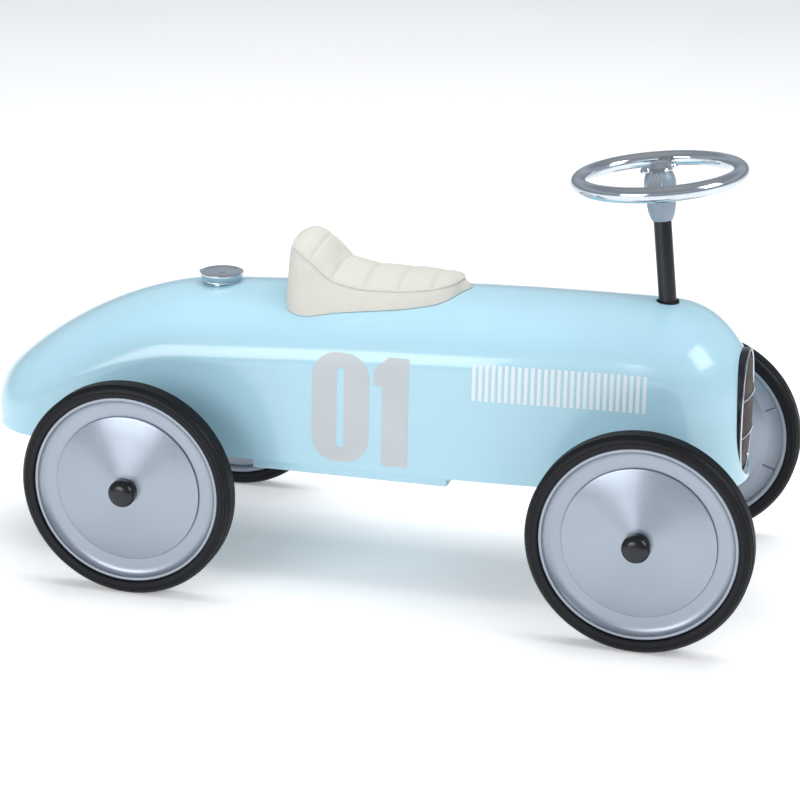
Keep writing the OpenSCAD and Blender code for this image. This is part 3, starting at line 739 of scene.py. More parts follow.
@dataclass(frozen=True)
class BodyForm:
    """The pressed body's outer form, in metres."""

    tail_x: float = -0.375
    nose_x: float = 0.347
    sill_z: float = 0.116
    half_w: float = 0.088
    bonnet_half_w: float = 0.080
    tail_round: float = 0.068
    nose_round: float = 0.077
    deck_x: float = -0.155
    hood_x: float = 0.255
    deck_z: float = 0.2573
    hood_z: float = 0.274
    tail_top_z: float = 0.148
    nose_top_z: float = 0.216
    taper_x: float = 0.090
    taper_len: float = 0.160
    dome_h: float = 0.058
    dome_share: float = 0.75
    lean: float = math.tan(math.radians(2.5))

    def plan_w(self, x: float, gap: float = 0.0) -> float:
        """Half width in plan of the surface that lies gap outside the body."""
        ease = min(1.0, max(0.0, (x - self.taper_x) / self.taper_len))
        ease = ease * ease * (3 - 2 * ease)
        width = self.half_w - (self.half_w - self.bonnet_half_w) * ease + gap
        tail = max(0.0, (self.tail_x + self.tail_round - x) / (self.tail_round + gap))
        nose = max(0.0, (x - self.nose_x + self.nose_round) / (self.nose_round + gap))
        return width * math.sqrt(max(0.0, 1 - tail * tail)) * math.sqrt(max(0.0, 1 - nose * nose))

    def crest(self, x: float, gap: float = 0.0) -> float:
        """Height of the centre line."""
        if x < self.deck_x:
            s = min(1.0, (self.deck_x - x) / (self.deck_x - self.tail_x + gap))
            rise = self.deck_z + gap - self.tail_top_z
            return self.tail_top_z + rise * (1 - s**1.75) ** (1 / 1.2)
        if x < self.hood_x:
            turn = math.pi / 2 * (x - self.deck_x) / (self.hood_x - self.deck_x)
            return self.deck_z + gap + (self.hood_z - self.deck_z) * math.sin(turn)
        n = min(1.0, (x - self.hood_x) / (self.nose_x - self.hood_x + gap))
        return self.nose_top_z + (self.hood_z + gap - self.nose_top_z) * (1 - n**2.8) ** (1 / 1.08)

    def dome(self, x: float, gap: float = 0.0) -> float:
        """Height of the domed top above the side walls."""
        return min(self.dome_h + gap, self.dome_share * (self.crest(x, gap) - self.sill_z))

    def wall(self, x: float, gap: float = 0.0) -> float:
        """Height of the side walls."""
        return self.crest(x, gap) - self.sill_z - self.dome(x, gap)

    def shoulder(self, x: float, gap: float = 0.0) -> float:
        """Half width where the walls meet the dome."""
        width = self.plan_w(x, gap)
        return max(width - self.lean * self.wall(x, gap), 0.9 * width)

    def top(self, x: float, y: float, gap: float = 0.0) -> float:
        """Height of the surface above a point of the plan."""
        share = min(1.0, abs(y) / max(self.shoulder(x, gap), 1e-6))
        return self.sill_z + self.wall(x, gap) + self.dome(x, gap) * math.sqrt(1 - share * share)

    def side(self, x: float, z: float, gap: float = 0.0) -> float:
        """Half width of the surface at a height."""
        up = z - self.sill_z - self.wall(x, gap)
        if up <= 0:
            return self.plan_w(x, gap) - self.lean * (z - self.sill_z)
        return self.shoulder(x, gap) * math.sqrt(max(0.0, 1 - (up / self.dome(x, gap)) ** 2))

    def station(self, u: float) -> float:
        """Place along the car of a position from 0 at the tail to 1 at the nose."""
        tail_share, nose_share = 0.34, 0.22
        if u < tail_share:
            return self.tail_x + (self.deck_x - self.tail_x) * (
                1 - math.cos(math.pi / 2 * u / tail_share)
            )
        if u > 1 - nose_share:
            return self.hood_x + (self.nose_x - self.hood_x) * math.sin(
                math.pi / 2 * (u - 1 + nose_share) / nose_share
            )
        return self.deck_x + (self.hood_x - self.deck_x) * (u - tail_share) / (1 - nose_share - tail_share)

    def point(self, u: float, v: float) -> Triple:
        """A point of the skin.

        Args:
            u: position from the tail to the nose.
            v: position from the right lower edge over the crest to the left one.

        Returns:
            The point.
        """
        x = self.station(u)
        width, shoulder, wall, dome = self.plan_w(x), self.shoulder(x), self.wall(x), self.dome(x)
        side = -1.0 if v < 0.5 else 1.0
        up = 1 - abs(2 * v - 1)
        wall_share = 0.34
        if up <= wall_share:
            climb = up / wall_share
            return (x, side * (width + (shoulder - width) * climb), self.sill_z + wall * climb)
        turn = math.pi / 2 * (up - wall_share) / (1 - wall_share)
        return (x, side * shoulder * math.cos(turn), self.sill_z + wall + dome * math.sin(turn))


def oval(grow: float, share: float, half_w: float = 0.034, half_h: float = 0.058) -> Pair:
    """A point of the grille's outline.

    Args:
        grow: how far outside the outline the point lies.
        share: position round the outline from 0 to 1.
        half_w: half width of the outline.
        half_h: half height of the outline.

    Returns:
        Sideways and upward distance from the grille's middle.
    """
    c, s = math.cos(2 * math.pi * share), math.sin(2 * math.pi * share)
    squash = 0.85
    return (
        (half_w + grow) * math.copysign(abs(c) ** squash, c),
        (half_h + grow) * math.copysign(abs(s) ** squash, s),
    )


# ---------------------------------------------------------------- bodywork


@dataclass
class Bodywork:
    """The pressed shell, the floor tray and the foils stuck to the sides."""

    form: BodyForm
    sheet: float = 0.0015
    rows: int = 180
    columns: int = 88
    hole_r: float = 0.0104
    tray_low: Triple = (-0.098, -0.0854, 0.107)
    tray_high: Triple = (0.087, 0.0854, 0.127)
    tray_end_z: float = 0.117
    rail_y: float = 0.045
    notch_w: float = 0.0186
    foil_gap: float = 0.00025
    louvres: int = 27
    louvre_x: float = 0.108
    louvre_pitch: float = 0.00585
    louvre_w: float = 0.0033
    louvre_z: Pair = (0.1916, 0.2253)
    digit_z: Pair = (0.1225, 0.224)
    digit_middle: float = 0.0047

    def shell(self, bench: Assembler, column: Matrix) -> None:
        """Presses the shell and cuts its openings.

        Args:
            bench: makes the piece.
            column: place of the steering column.
        """
        mesh = patch(self.rows, self.columns, self.form.point)
        bmesh.ops.remove_doubles(mesh, verts=mesh.verts, dist=1e-5)
        bmesh.ops.recalc_face_normals(mesh, faces=mesh.faces)
        if max(mesh.faces, key=lambda f: f.calc_center_median().z).normal.z < 0:
            bmesh.ops.reverse_faces(mesh, faces=mesh.faces)
        piece = as_object(mesh, "pressed_shell")
        wall = piece.modifiers.new("wall", "SOLIDIFY")
        wall.thickness = self.sheet
        wall.offset = -1.0
        settle(piece)
        cut(piece, Grille.prism(0.0003, self.form.nose_x - 0.03, self.form.nose_x + 0.02))
        drill = lathe([(0, -0.15), (self.hole_r, -0.15), (self.hole_r, -0.09), (0, -0.09)])
        drill.transform(column)
        cut(piece, drill)
        bench.fit(piece, Paint.BODY, "chassis", ["body_shell"])

    def tray(self, bench: Assembler) -> None:
        """Folds the floor tray, open on top and notched for the rails."""
        mesh = block(self.tray_low, self.tray_high)
        lid = [f for f in mesh.faces if f.normal.z > 0.9]
        bmesh.ops.delete(mesh, geom=lid, context="FACES_ONLY")
        soften(mesh, 0.0022, segments=4)
        piece = as_object(mesh, "folded_tray")
        wall = piece.modifiers.new("wall", "SOLIDIFY")
        wall.thickness = 0.002
        wall.offset = -1.0
        settle(piece)
        inner_y = self.tray_high[1] - 0.002
        cut(piece, block((-0.12, -inner_y, self.tray_end_z), (0.12, inner_y, 0.14)))
        for side in (-1, 1):
            notch = block((-0.12, side * self.rail_y - self.notch_w / 2, 0.109),
                          (0.12, side * self.rail_y + self.notch_w / 2, 0.14))
            cut(piece, notch)
        bench.fit(piece, Paint.BODY, "chassis", ["floor_pan"])

    def _lay(self, mesh: bmesh.types.BMesh, side: int, middle: float | None) -> None:
        """Wraps a flat foil drawn in X and Z over one side of the body.

        Args:
            mesh: the foil, with Y unused.
            side: -1 for the right side and 1 for the left.
            middle: where the foil is turned about on the left side, or None.
        """
        for vert in mesh.verts:
            x, z = vert.co.x, vert.co.z
            if side > 0 and middle is not None:
                x = 2 * middle - x
            vert.co = (x, side * self.form.side(x, z, self.foil_gap), z)
        bmesh.ops.remove_doubles(mesh, verts=mesh.verts, dist=1e-6)
        bmesh.ops.recalc_face_normals(mesh, faces=mesh.faces)
        if sum(f.normal.y for f in mesh.faces) * side < 0:
            bmesh.ops.reverse_faces(mesh, faces=mesh.faces)

    @staticmethod
    def _loop(share: float, half_w: float, half_h: float, corner: float) -> Pair:
        """A point of an upright rounded rectangle.

        Args:
            share: position round it from 0 to 1.
            half_w: half width.
            half_h: half height.
            corner: radius of its corners.

        Returns:
            Sideways and upward distance from its middle.
        """
        quarter = int(share * 4) % 4
        along = share * 4 - int(share * 4)
        turn = math.pi / 2 * (quarter + min(1.0, along * 2))
        signs = ((1, 1), (-1, 1), (-1, -1), (1, -1))
        here, after = signs[quarter], signs[(quarter + 1) % 4]
        run = max(0.0, along * 2 - 1)
        middle = [
            (a + (b - a) * run) * reach for a, b,
            reach in zip(here, after, (half_w - corner, half_h - corner))
        ]
        return middle[0] + corner * math.cos(turn), middle[1] + corner * math.sin(turn)

    def _nought(self) -> bmesh.types.BMesh:
        """The figure nought, flat."""
        x0, half_w, half_h = -0.0136, 0.02685, (self.digit_z[1] - self.digit_z[0]) / 2
        z0, bar, crown = self.digit_z[0] + half_h, 0.0234, 0.0135

        def place(u: float, v: float) -> Triple:
            """Point between the slot's edge and the outer edge."""
            inner = self._loop(u, half_w - bar, half_h - crown, 0.0032)
            outer = self._loop(u, half_w, half_h, half_w - 0.004)
            return (x0 + inner[0] + (outer[0] - inner[0]) * v, 0,
                    z0 + inner[1] + (outer[1] - inner[1]) * v)

        return patch(96, 6, place)

    def _one(self) -> bmesh.types.BMesh:
        """The figure one, flat: an upright bar with a flag at its head."""
        left, right, low, high = 0.0255, 0.0499, *self.digit_z
        flag_z, flag_w, flag_h = low + 0.0745, 0.0081, 0.0149

        def stem(u: float, v: float) -> Triple:
            """Point of the bar below the flag."""
            return (left + (right - left) * u, 0, low + (flag_z - low) * v)

        def head(u: float, v: float) -> Triple:
            """Point of the bar beside and above the flag."""
            z = flag_z + (high - flag_z) * v
            slant = max(0.0, (z - flag_z - flag_h) / (high - flag_z - flag_h))
            edge = left - flag_w + (flag_w + 0.0055) * slant
            return (edge + (right - edge) * u, 0, z)

        return patch(6, 20, head, patch(6, 16, stem))

    def _stripes(self) -> bmesh.types.BMesh:
        """The row of louvre stripes, flat."""
        mesh = bmesh.new()
        low, high = self.louvre_z
        for k in range(self.louvres):
            left = self.louvre_x + k * self.louvre_pitch
            patch(1, 8, lambda u, v, x=left: (x + self.louvre_w * u, 0, low + (high - low) * v),
                  mesh)
        return mesh

    def foils(self, bench: Assembler) -> None:
        """Cuts the racing number and the louvre stripes for both sides."""
        bright = Moulding("bright_foil", (0.80, 0.86, 0.88), (0.74, 0.80, 0.82), 0.35, 0.00001)
        for name, draw, middle, node, finish in (
            ("number_nought", self._nought, self.digit_middle, "number_foils", None),
            ("number_one", self._one, self.digit_middle, "number_foils", None),
            ("louvre_stripes", self._stripes, None, "louvre_foils", bright),
        ):
            for side, word in ((-1, "right"), (1, "left")):
                mesh = draw()
                self._lay(mesh, side, middle)
                piece = as_object(mesh, f"{name}_{word}")
                skin = piece.modifiers.new("skin", "SOLIDIFY")
                skin.thickness = 0.0002
                skin.offset = -1.0
                settle(piece)
                bench.fit(piece, Paint.FOIL, "chassis", [node], finish)

    def build(self, bench: Assembler, column: Matrix) -> None:
        """Builds the whole of the bodywork."""
        self.shell(bench, column)
        self.tray(bench)
        self.foils(bench)


# ---------------------------------------------------------------- grille


@dataclass
class Grille:
    """The oval grille: black housing, chrome trim, woven wire and two bars."""

    face_x: float = 0.342
    depth: float = 0.010
    middle_z: float = 0.1775
    bulge: float = 0.005
    wire_pitch: float = 0.0026
    wire_r: float = 0.00042
    bar_r: float = 0.0008
    points: int = 120

    @staticmethod
    def prism(grow: float, low: float, high: float, middle_z: float = 0.1775) -> bmesh.types.BMesh:
        """A solid oval block.

        Args:
            grow: how far outside the outline its wall lies.
            low: its back.
            high: its front.
            middle_z: height of its middle.

        Returns:
            The block.
        """
        mesh = bmesh.new()
        count = 96
        ring = bmesh.ops.create_circle(mesh, cap_ends=True, radius=1.0, segments=count)["verts"]
        for k, vert in enumerate(ring):
            y, z = oval(grow, k / count)
            vert.co = (low, y, middle_z + z)
        front = bmesh.ops.extrude_face_region(mesh, geom=mesh.faces[:])
        moved = [v for v in front["geom"] if isinstance(v, bmesh.types.BMVert)]
        bmesh.ops.translate(mesh, vec=(high - low, 0, 0), verts=moved)
        bmesh.ops.recalc_face_normals(mesh, faces=mesh.faces)
        return mesh

    def _reach(self, y: float, z: float) -> float:
        """How far out a point lies, from 0 in the middle to 1 on the wire's edge."""
        power = 2 / 0.85
        return ((abs(y) / 0.0308) ** power + (abs(z) / 0.0548) ** power) ** (1 / power)

    def _bulge_x(self, y: float, z: float) -> float:
        """Place of the bulging face above a point of the oval."""
        reach = min(1.0, self._reach(y, z))
        return self.face_x - 0.0011 + self.bulge * (1 - reach * reach)

    def housing(self, bench: Assembler) -> None:
        """Makes the black housing, open in front."""
        mesh = self.prism(0.0, self.face_x - self.depth, self.face_x)
        soften(mesh, 0.0009)
        piece = as_object(mesh, "grille_case")
        cut(piece, self.prism(-0.003, self.face_x - self.depth + 0.002, self.face_x + 0.01))
        bench.fit(piece, Paint.HOUSING, "chassis", ["grille_housing"])

    def trim(self, bench: Assembler) -> None:
        """Makes the chrome wire round the edge."""
        ring = [oval(-0.0015, k / self.points) for k in range(self.points)]
        path = [Vector((self.face_x + 0.0002, y, self.middle_z + z)) for y, z in ring]
        bench.make("grille_edge", tubes([path], 0.00085, 2, True), Paint.CHROME, "chassis",
                   ["grille_trim"])

    def weave(self, bench: Assembler) -> None:
        """Weaves the wire and puts the two bars across it."""
        paths = []
        for upright in (True, False):
            reach = 0.0308 if upright else 0.0548
            count = int(reach / self.wire_pitch)
            for k in range(-count, count + 1):
                across = k * self.wire_pitch
                length = int((0.0548 if upright else 0.0308) / self.wire_pitch)
                path = []
                for m in range(-length, length + 1):
                    y, z = (across, m * self.wire_pitch) if upright else (m * self.wire_pitch,
                                                                          across)
                    if self._reach(y, z) > 0.99:
                        continue
                    over = self.wire_r * (1 if (k + m) % 2 == (0 if upright else 1) else -1)
                    path.append(Vector((self._bulge_x(y, z) + over, y, self.middle_z + z)))
                if len(path) > 1:
                    paths.append(path)
        bench.make("grille_weave", tubes(paths, self.wire_r, 1), Paint.WIRE, "chassis",
                   ["grille_mesh"])
        bars = []
        for lift in (-0.0175, 0.0175):
            span = [-0.0300 + 0.0600 * m / 24 for m in range(25)]
            bars.append([Vector((self._bulge_x(y, lift) + 0.0012, y,
                                 self.middle_z + lift)) for y in span])
        bench.make("grille_cross_bars", tubes(bars, self.bar_r, 2), Paint.CHROME, "chassis",
                   ["grille_bars"])

    def build(self, bench: Assembler) -> None:
        """Builds the whole grille."""
        self.housing(bench)
        self.trim(bench)
        self.weave(bench)


# ---------------------------------------------------------------- filler


@dataclass
class Filler:
    """The filler neck and its quarter-turn cap with a lug."""

    x: float = -0.155
    neck_z: float = 0.2573
    cap_z: float = 0.2599

    def build(self, bench: Assembler) -> None:
        """Turns the neck and the cap."""
        place = Matrix.Translation((self.x, 0, self.neck_z))
        neck = lathe(
            [(0.012, -0.010), (0.015, -0.010), (0.015, 0.0003), (0.0175, 0.0003), (0.0175, 0.0023),
             (0.015, 0.0023),
             (0.015, 0.005), (0.012, 0.005), (0.012, -0.010)],
            96,
            0.0003,
        )
        neck.transform(place)
        bench.make("filler_collar", neck, Paint.CHROME, "chassis", ["filler_neck"])
        cap = lathe(
            [(0.0, 0.0060), (0.0165, 0.0060), (0.0172, 0.0067), (0.0192, 0.0070), (0.0204, 0.0066),
             (0.0205, 0.0050),
             (0.0200, 0.0044), (0.0185, 0.0001), (0.0158, 0.0001), (0.0158, 0.0033), (0.0, 0.0033)],
            128,
            0.0002,
        )
        lug = block((-0.0226, -0.0021, 0.0045), (-0.0175, 0.0021, 0.0063), 0.0006)
        knob = lathe([(0.0, 0.0066), (0.0026, 0.0065), (0.0032, 0.0058), (0.0, 0.0058)], 32)
        cap = join(cap, lug, knob)
        cap.transform(Matrix.Translation((self.x, 0, self.cap_z)))
        bench.make("filler_lid", cap, Paint.CHROME, "cap", ["filler_cap"])


# ---------------------------------------------------------------- steering


@dataclass
class Steering:
    """The column, the fluted boss and the two-armed steering wheel."""

    middle: Triple = (0.2545, 0.0, 0.3875)
    lean: float = math.radians(6.0)
    column_r: float = 0.008
    foot: float = -0.283
    hood: float = -0.1145
    ring_r: float = 0.072
    tube_r: float = 0.007
    arm_turn: float = math.radians(95.0)
    ear_turn: float = math.radians(40.0)
    flutes: int = 20

    @property
    def place(self) -> Matrix:
        """Place of the column; its Z runs up from the middle of the wheel."""
        return Matrix.Translation(self.middle) @ Matrix.Rotation(-self.lean, 4, "Y")

    def column(self, bench: Assembler) -> None:
        """Turns the column and the rubber grommet it passes through."""
        tube = lathe(
            [(0, self.foot), (self.column_r, self.foot), (self.column_r, -0.012), (0, -0.012)], 64,
            0.0006
        )
        tube.transform(self.place)
        bench.make("column_tube", tube, Paint.BLACK, "steering", ["steering_column"])
        base = self.hood
        ring = lathe(
            [(0.0083, base - 0.005), (0.0102, base - 0.005), (0.0102, base - 0.0010),
             (0.0104, base - 0.0002),
             (0.0099, base + 0.0006), (0.0091, base + 0.0009), (0.0083, base + 0.0008),
             (0.0083, base - 0.005)],
            72,
            0.0002,
        )
        ring.transform(self.place)
        bench.make("hood_grommet", ring, Paint.GROMMET, "chassis", ["column_grommet"])

    def boss(self, bench: Assembler) -> None:
        """Turns the grey boss, flutes it and sets its screw."""
        mesh = lathe(
            [(0.0081, -0.0395), (0.0092, -0.0395), (0.0106, -0.0365), (0.0121, -0.031),
             (0.0128, -0.026),
             (0.0131, -0.022), (0.0137, -0.016), (0.0142, -0.009), (0.0141, -0.004), (0.0133, 0.0),
             (0.0118, 0.0035),
             (0.0104, 0.0055), (0.0, 0.0055), (0.0, -0.0112), (0.0081, -0.0112), (0.0081, -0.0395)],
            240,
        )
        for vert in mesh.verts:
            radius = math.hypot(vert.co.x, vert.co.y)
            if radius > 0.0095 and -0.036 < vert.co.z < 0.003:
                wave = math.cos(self.flutes * math.atan2(vert.co.y, vert.co.x))
                shrink = 1 - 0.022 * max(0.0, wave) ** 2
                vert.co.x *= shrink
                vert.co.y *= shrink
        mesh.transform(self.place)
        bench.make("fluted_boss", mesh, Paint.HUB, "steering", ["steering_hub"])
        head = lathe([(0, 0), (0.003, 0), (0.003, 0.0012), (0.0026, 0.0019), (0.0016, 0.0024),
                      (0, 0.0025)], 40, 0.0002)
        piece = as_object(head, "boss_screw")
        for half_x, half_y in ((0.0019, 0.00035), (0.00035, 0.0019)):
            cut(piece, block((-half_x, -half_y, 0.0012), (half_x, half_y, 0.004)))
        turn = Matrix.Rotation(math.radians(-100), 4, "Z") @ Matrix.Translation((0.0127, 0, -0.019))
        piece.data.transform(self.place @ turn @ Matrix.Rotation(math.pi / 2, 4, "Y"))
        bench.fit(piece, Paint.CHROME, "steering", ["hub_screw"])

    def wheel(self, bench: Assembler) -> None:
        """Makes the ring, its two ribbed arms and the eared crown."""
        ring = bmesh.new()
        bmesh.ops.create_circle(ring, radius=self.tube_r, segments=40)
        bmesh.ops.rotate(ring, verts=ring.verts, cent=(0, 0, 0),
                         matrix=Matrix.Rotation(math.pi / 2, 3, "X"))
        bmesh.ops.translate(ring, verts=ring.verts, vec=(self.ring_r, 0, 0))
        bmesh.ops.spin(
            ring, geom=ring.verts[:] + ring.edges[:], cent=(0, 0, 0), axis=(0, 0, 1),
            angle=2 * math.pi, steps=160,
            use_merge=True,
        )
        bmesh.ops.recalc_face_normals(ring, faces=ring.faces)
        crown = lathe(
            [(0.0, 0.0056), (0.0122, 0.0056), (0.0126, 0.0066), (0.0106, 0.0096), (0.0092, 0.0101),
             (0.0084, 0.0105),
             (0.0068, 0.0125), (0.0042, 0.0132), (0.0, 0.0134)],
            96,
            0.0003,
        )
        parts = [crown]
        tilt = Matrix.Rotation(math.asin(0.007 / 0.068), 4, "Y")
        for turn in (self.arm_turn, self.arm_turn + math.pi):
            plate = block((0.0, -0.0065, 0.0008), (0.064, 0.0065, 0.0034), 0.0008)
            ribs = [block((0.002, y - 0.0011, 0.002), (0.062, y + 0.0011, 0.0042),
                          0.0008) for y in (-0.0038, 0, 0.0038)]
            arm = join(plate, *ribs)
            lift = Matrix.Rotation(turn, 4, "Z") @ Matrix.Translation((0.005, 0, 0.0057)) @ tilt
            arm.transform(lift)
            parts.append(arm)
        for turn in (self.ear_turn, self.ear_turn + math.pi):
            lobe = lathe([(0, 0.0057), (0.0048, 0.0057), (0.005, 0.0068), (0.0038, 0.0098),
                          (0, 0.0101)], 40, 0.0003)
            neck = block((-0.009, -0.0042, 0.0057), (0.0, 0.0042, 0.0094), 0.001)
            ear = join(lobe, neck)
            ear.transform(Matrix.Rotation(turn, 4, "Z") @ Matrix.Translation((0.0135, 0, 0)))
            parts.append(ear)
        wheel = join(ring, *parts)
        wheel.transform(self.place)
        bench.make("steering_wheel", wheel, Paint.CHROME, "steering", ["steering_ring"])

    def build(self, bench: Assembler) -> None:
        """Builds the steering above the hood."""
        self.column(bench)
        self.boss(bench)
        self.wheel(bench)


# ---------------------------------------------------------------- road wheels


@dataclass
class RoadWheel:
    """One road wheel: ribbed tyre, dished rim, spun disc and domed nut."""

    name: str
    x: float
    side: int
    nut_node: str
    nut_body: str
    half_track: float = 0.150
    tyre_r: float = 0.100
    half_w: float = 0.011
    groove_pitch: float = 0.003
    land: float = 0.0008
    groove: float = 0.0010

    @property
    def place(self) -> Matrix:
        """Place of the wheel; its Z points outward along the axle."""
        return Matrix.Translation((self.x, self.side * self.half_track,
                                   self.tyre_r)) @ Matrix.Rotation(
            -math.pi / 2 * self.side, 4, "X"
        )

    def tyre(self, bench: Assembler) -> None:
        """Moulds the tyre with its tread grooves and shoulder ribs."""
        r = self.tyre_r
        side = [(0.0856, 0.0060), (0.0884, 0.0061), (0.0884, 0.0098), (0.0892, 0.0108),
                (0.0905, 0.0110),
                (0.0932, 0.0110), (0.0934, 0.0106), (0.0940, 0.0106), (0.0942, 0.0109),
                (0.0960, 0.0105),
                (0.0962, 0.0101), (0.0968, 0.0099), (0.0971, 0.0101), (0.0985, 0.0088),
                (0.0994, 0.0074),
                (0.0999, 0.0062)]
        tread = []
        for k in range(2, -3, -1):
            at, half = self.groove_pitch * k, self.land / 2
            low = r - self.groove
            tread += [(r, at + self.land), (low, at + half), (low, at - half), (r, at - self.land)]
        profile = side + tread + [(a, -b) for a, b in reversed(side)] + [side[0]]
        mesh = lathe(profile, 192)
        mesh.transform(self.place)
        bench.make(f"{self.name}_ribbed_tyre", mesh, Paint.TYRE, f"{self.name}_wheel",
                   [f"{self.name}_tyre"])

    def rim(self, bench: Assembler) -> None:
        """Spins the rim, with eight ribs on its inner side."""
        cove = [(0.0765 + 0.0085 * math.sin(t), 0.0016 + 0.0064 * (1 - math.cos(t)))
                for t in (math.pi / 2 * k / 10 for k in range(1, 11))]
        profile = [(0.0082, 0.0115), (0.0112, 0.0115), (0.0112, -0.0063), (0.030, -0.0058),
                   (0.0625, -0.0024),
                   (0.0665, 0.0012), (0.0700, 0.0016), (0.0765, 0.0016), *cove, (0.0872, 0.0082),
                   (0.0880, 0.0076),
                   (0.0880, 0.0066), (0.0850, 0.0064), (0.0850, -0.0064), (0.0880, -0.0066),
                   (0.0880, -0.0080),
                   (0.0846, -0.0080), (0.0830, -0.0060), (0.0828, -0.0006), (0.0705, -0.0006),
                   (0.0675, -0.0016),
                   (0.0635, -0.0046), (0.045, -0.0078), (0.030, -0.0086), (0.0112, -0.0096),
                   (0.0112, -0.0120),
                   (0.0082, -0.0120), (0.0082, 0.0115)]
        mesh = lathe(profile, 160, 0.0003)
        ribs = []
        for k in range(8):
            rib = block((0.0710, -0.0009, -0.0022), (0.0822, 0.0009, 0.0), 0.0005)
            rib.transform(Matrix.Rotation(math.pi / 4 * (k + 0.5), 4, "Z"))
            ribs.append(rib)
        mesh = join(mesh, *ribs)
        mesh.transform(self.place)
        bench.make(f"{self.name}_dished_rim", mesh, Paint.RIM, f"{self.name}_wheel",
                   [f"{self.name}_rim"])

    def disc(self, bench: Assembler) -> None:
        """Spins the conical disc."""
        profile = [(0.0120, 0.0092), (0.0120, 0.0104), (0.0140, 0.0102), (0.030, 0.0083),
                   (0.050, 0.0057),
                   (0.0665, 0.0036), (0.0681, 0.0032), (0.0685, 0.0027), (0.0685, 0.0020),
                   (0.0673, 0.0020),
                   (0.014, 0.0090), (0.0120, 0.0092)]
        mesh = lathe(profile, 192)
        mesh.transform(self.place)
        finish = SpunMetal(
            f"spun_aluminium_{self.name}", (0.36, 0.40, 0.46), (0.30, 0.34, 0.40),
            (self.x, self.side * self.half_track, self.tyre_r),
        )
        bench.make(f"{self.name}_spun_disc", mesh, Paint.DISC, f"{self.name}_wheel",
                   [f"{self.name}_disc"], finish)

    def nut(self, bench: Assembler) -> None:
        """Moulds the domed nut."""
        mesh = lathe(
            [(0.005, 0.0128), (0.0120, 0.0128), (0.0126, 0.0134), (0.0126, 0.0176),
             (0.0122, 0.0188), (0.0112, 0.0206),
             (0.0098, 0.0221), (0.0078, 0.0232), (0.0052, 0.0239), (0.0026, 0.0242), (0.0, 0.0242),
             (0.0, 0.0171),
             (0.005, 0.0171), (0.005, 0.0128)],
            96,
            0.0002,
        )
        mesh.transform(self.place)
        bench.make(f"{self.name}_domed_nut", mesh, Paint.PLASTIC, self.nut_body, [self.nut_node])

    def build(self, bench: Assembler) -> None:
        """Builds the whole wheel."""
        self.tyre(bench)
        self.rim(bench)
        self.disc(bench)
        self.nut(bench)


# ---------------------------------------------------------------- seat


def along(knots: Sequence[Pair], x: float) -> float:
    """Reads a smooth curve given by knots, each a place and a value."""
    if x <= knots[0][0]:
        return knots[0][1]
    for k, (left, right) in enumerate(zip(knots, knots[1:])):
        if x <= right[0]:
            before, after = knots[max(k - 1, 0)], knots[min(k + 2, len(knots) - 1)]
            span = right[0] - left[0]
            rise_in = (right[1] - before[1]) / max(right[0] - before[0], 1e-9) * span
            rise_out = (after[1] - left[1]) / max(after[0] - left[0], 1e-9) * span
            f = (x - left[0]) / span
            g = 1 - f
            return (
                left[1] * (1 + 2 * f) * g * g + right[1] * (3 - 2 * f) * f * f
                + rise_in * f * g * g - rise_out * f * f * g
            )
    return knots[-1][1]


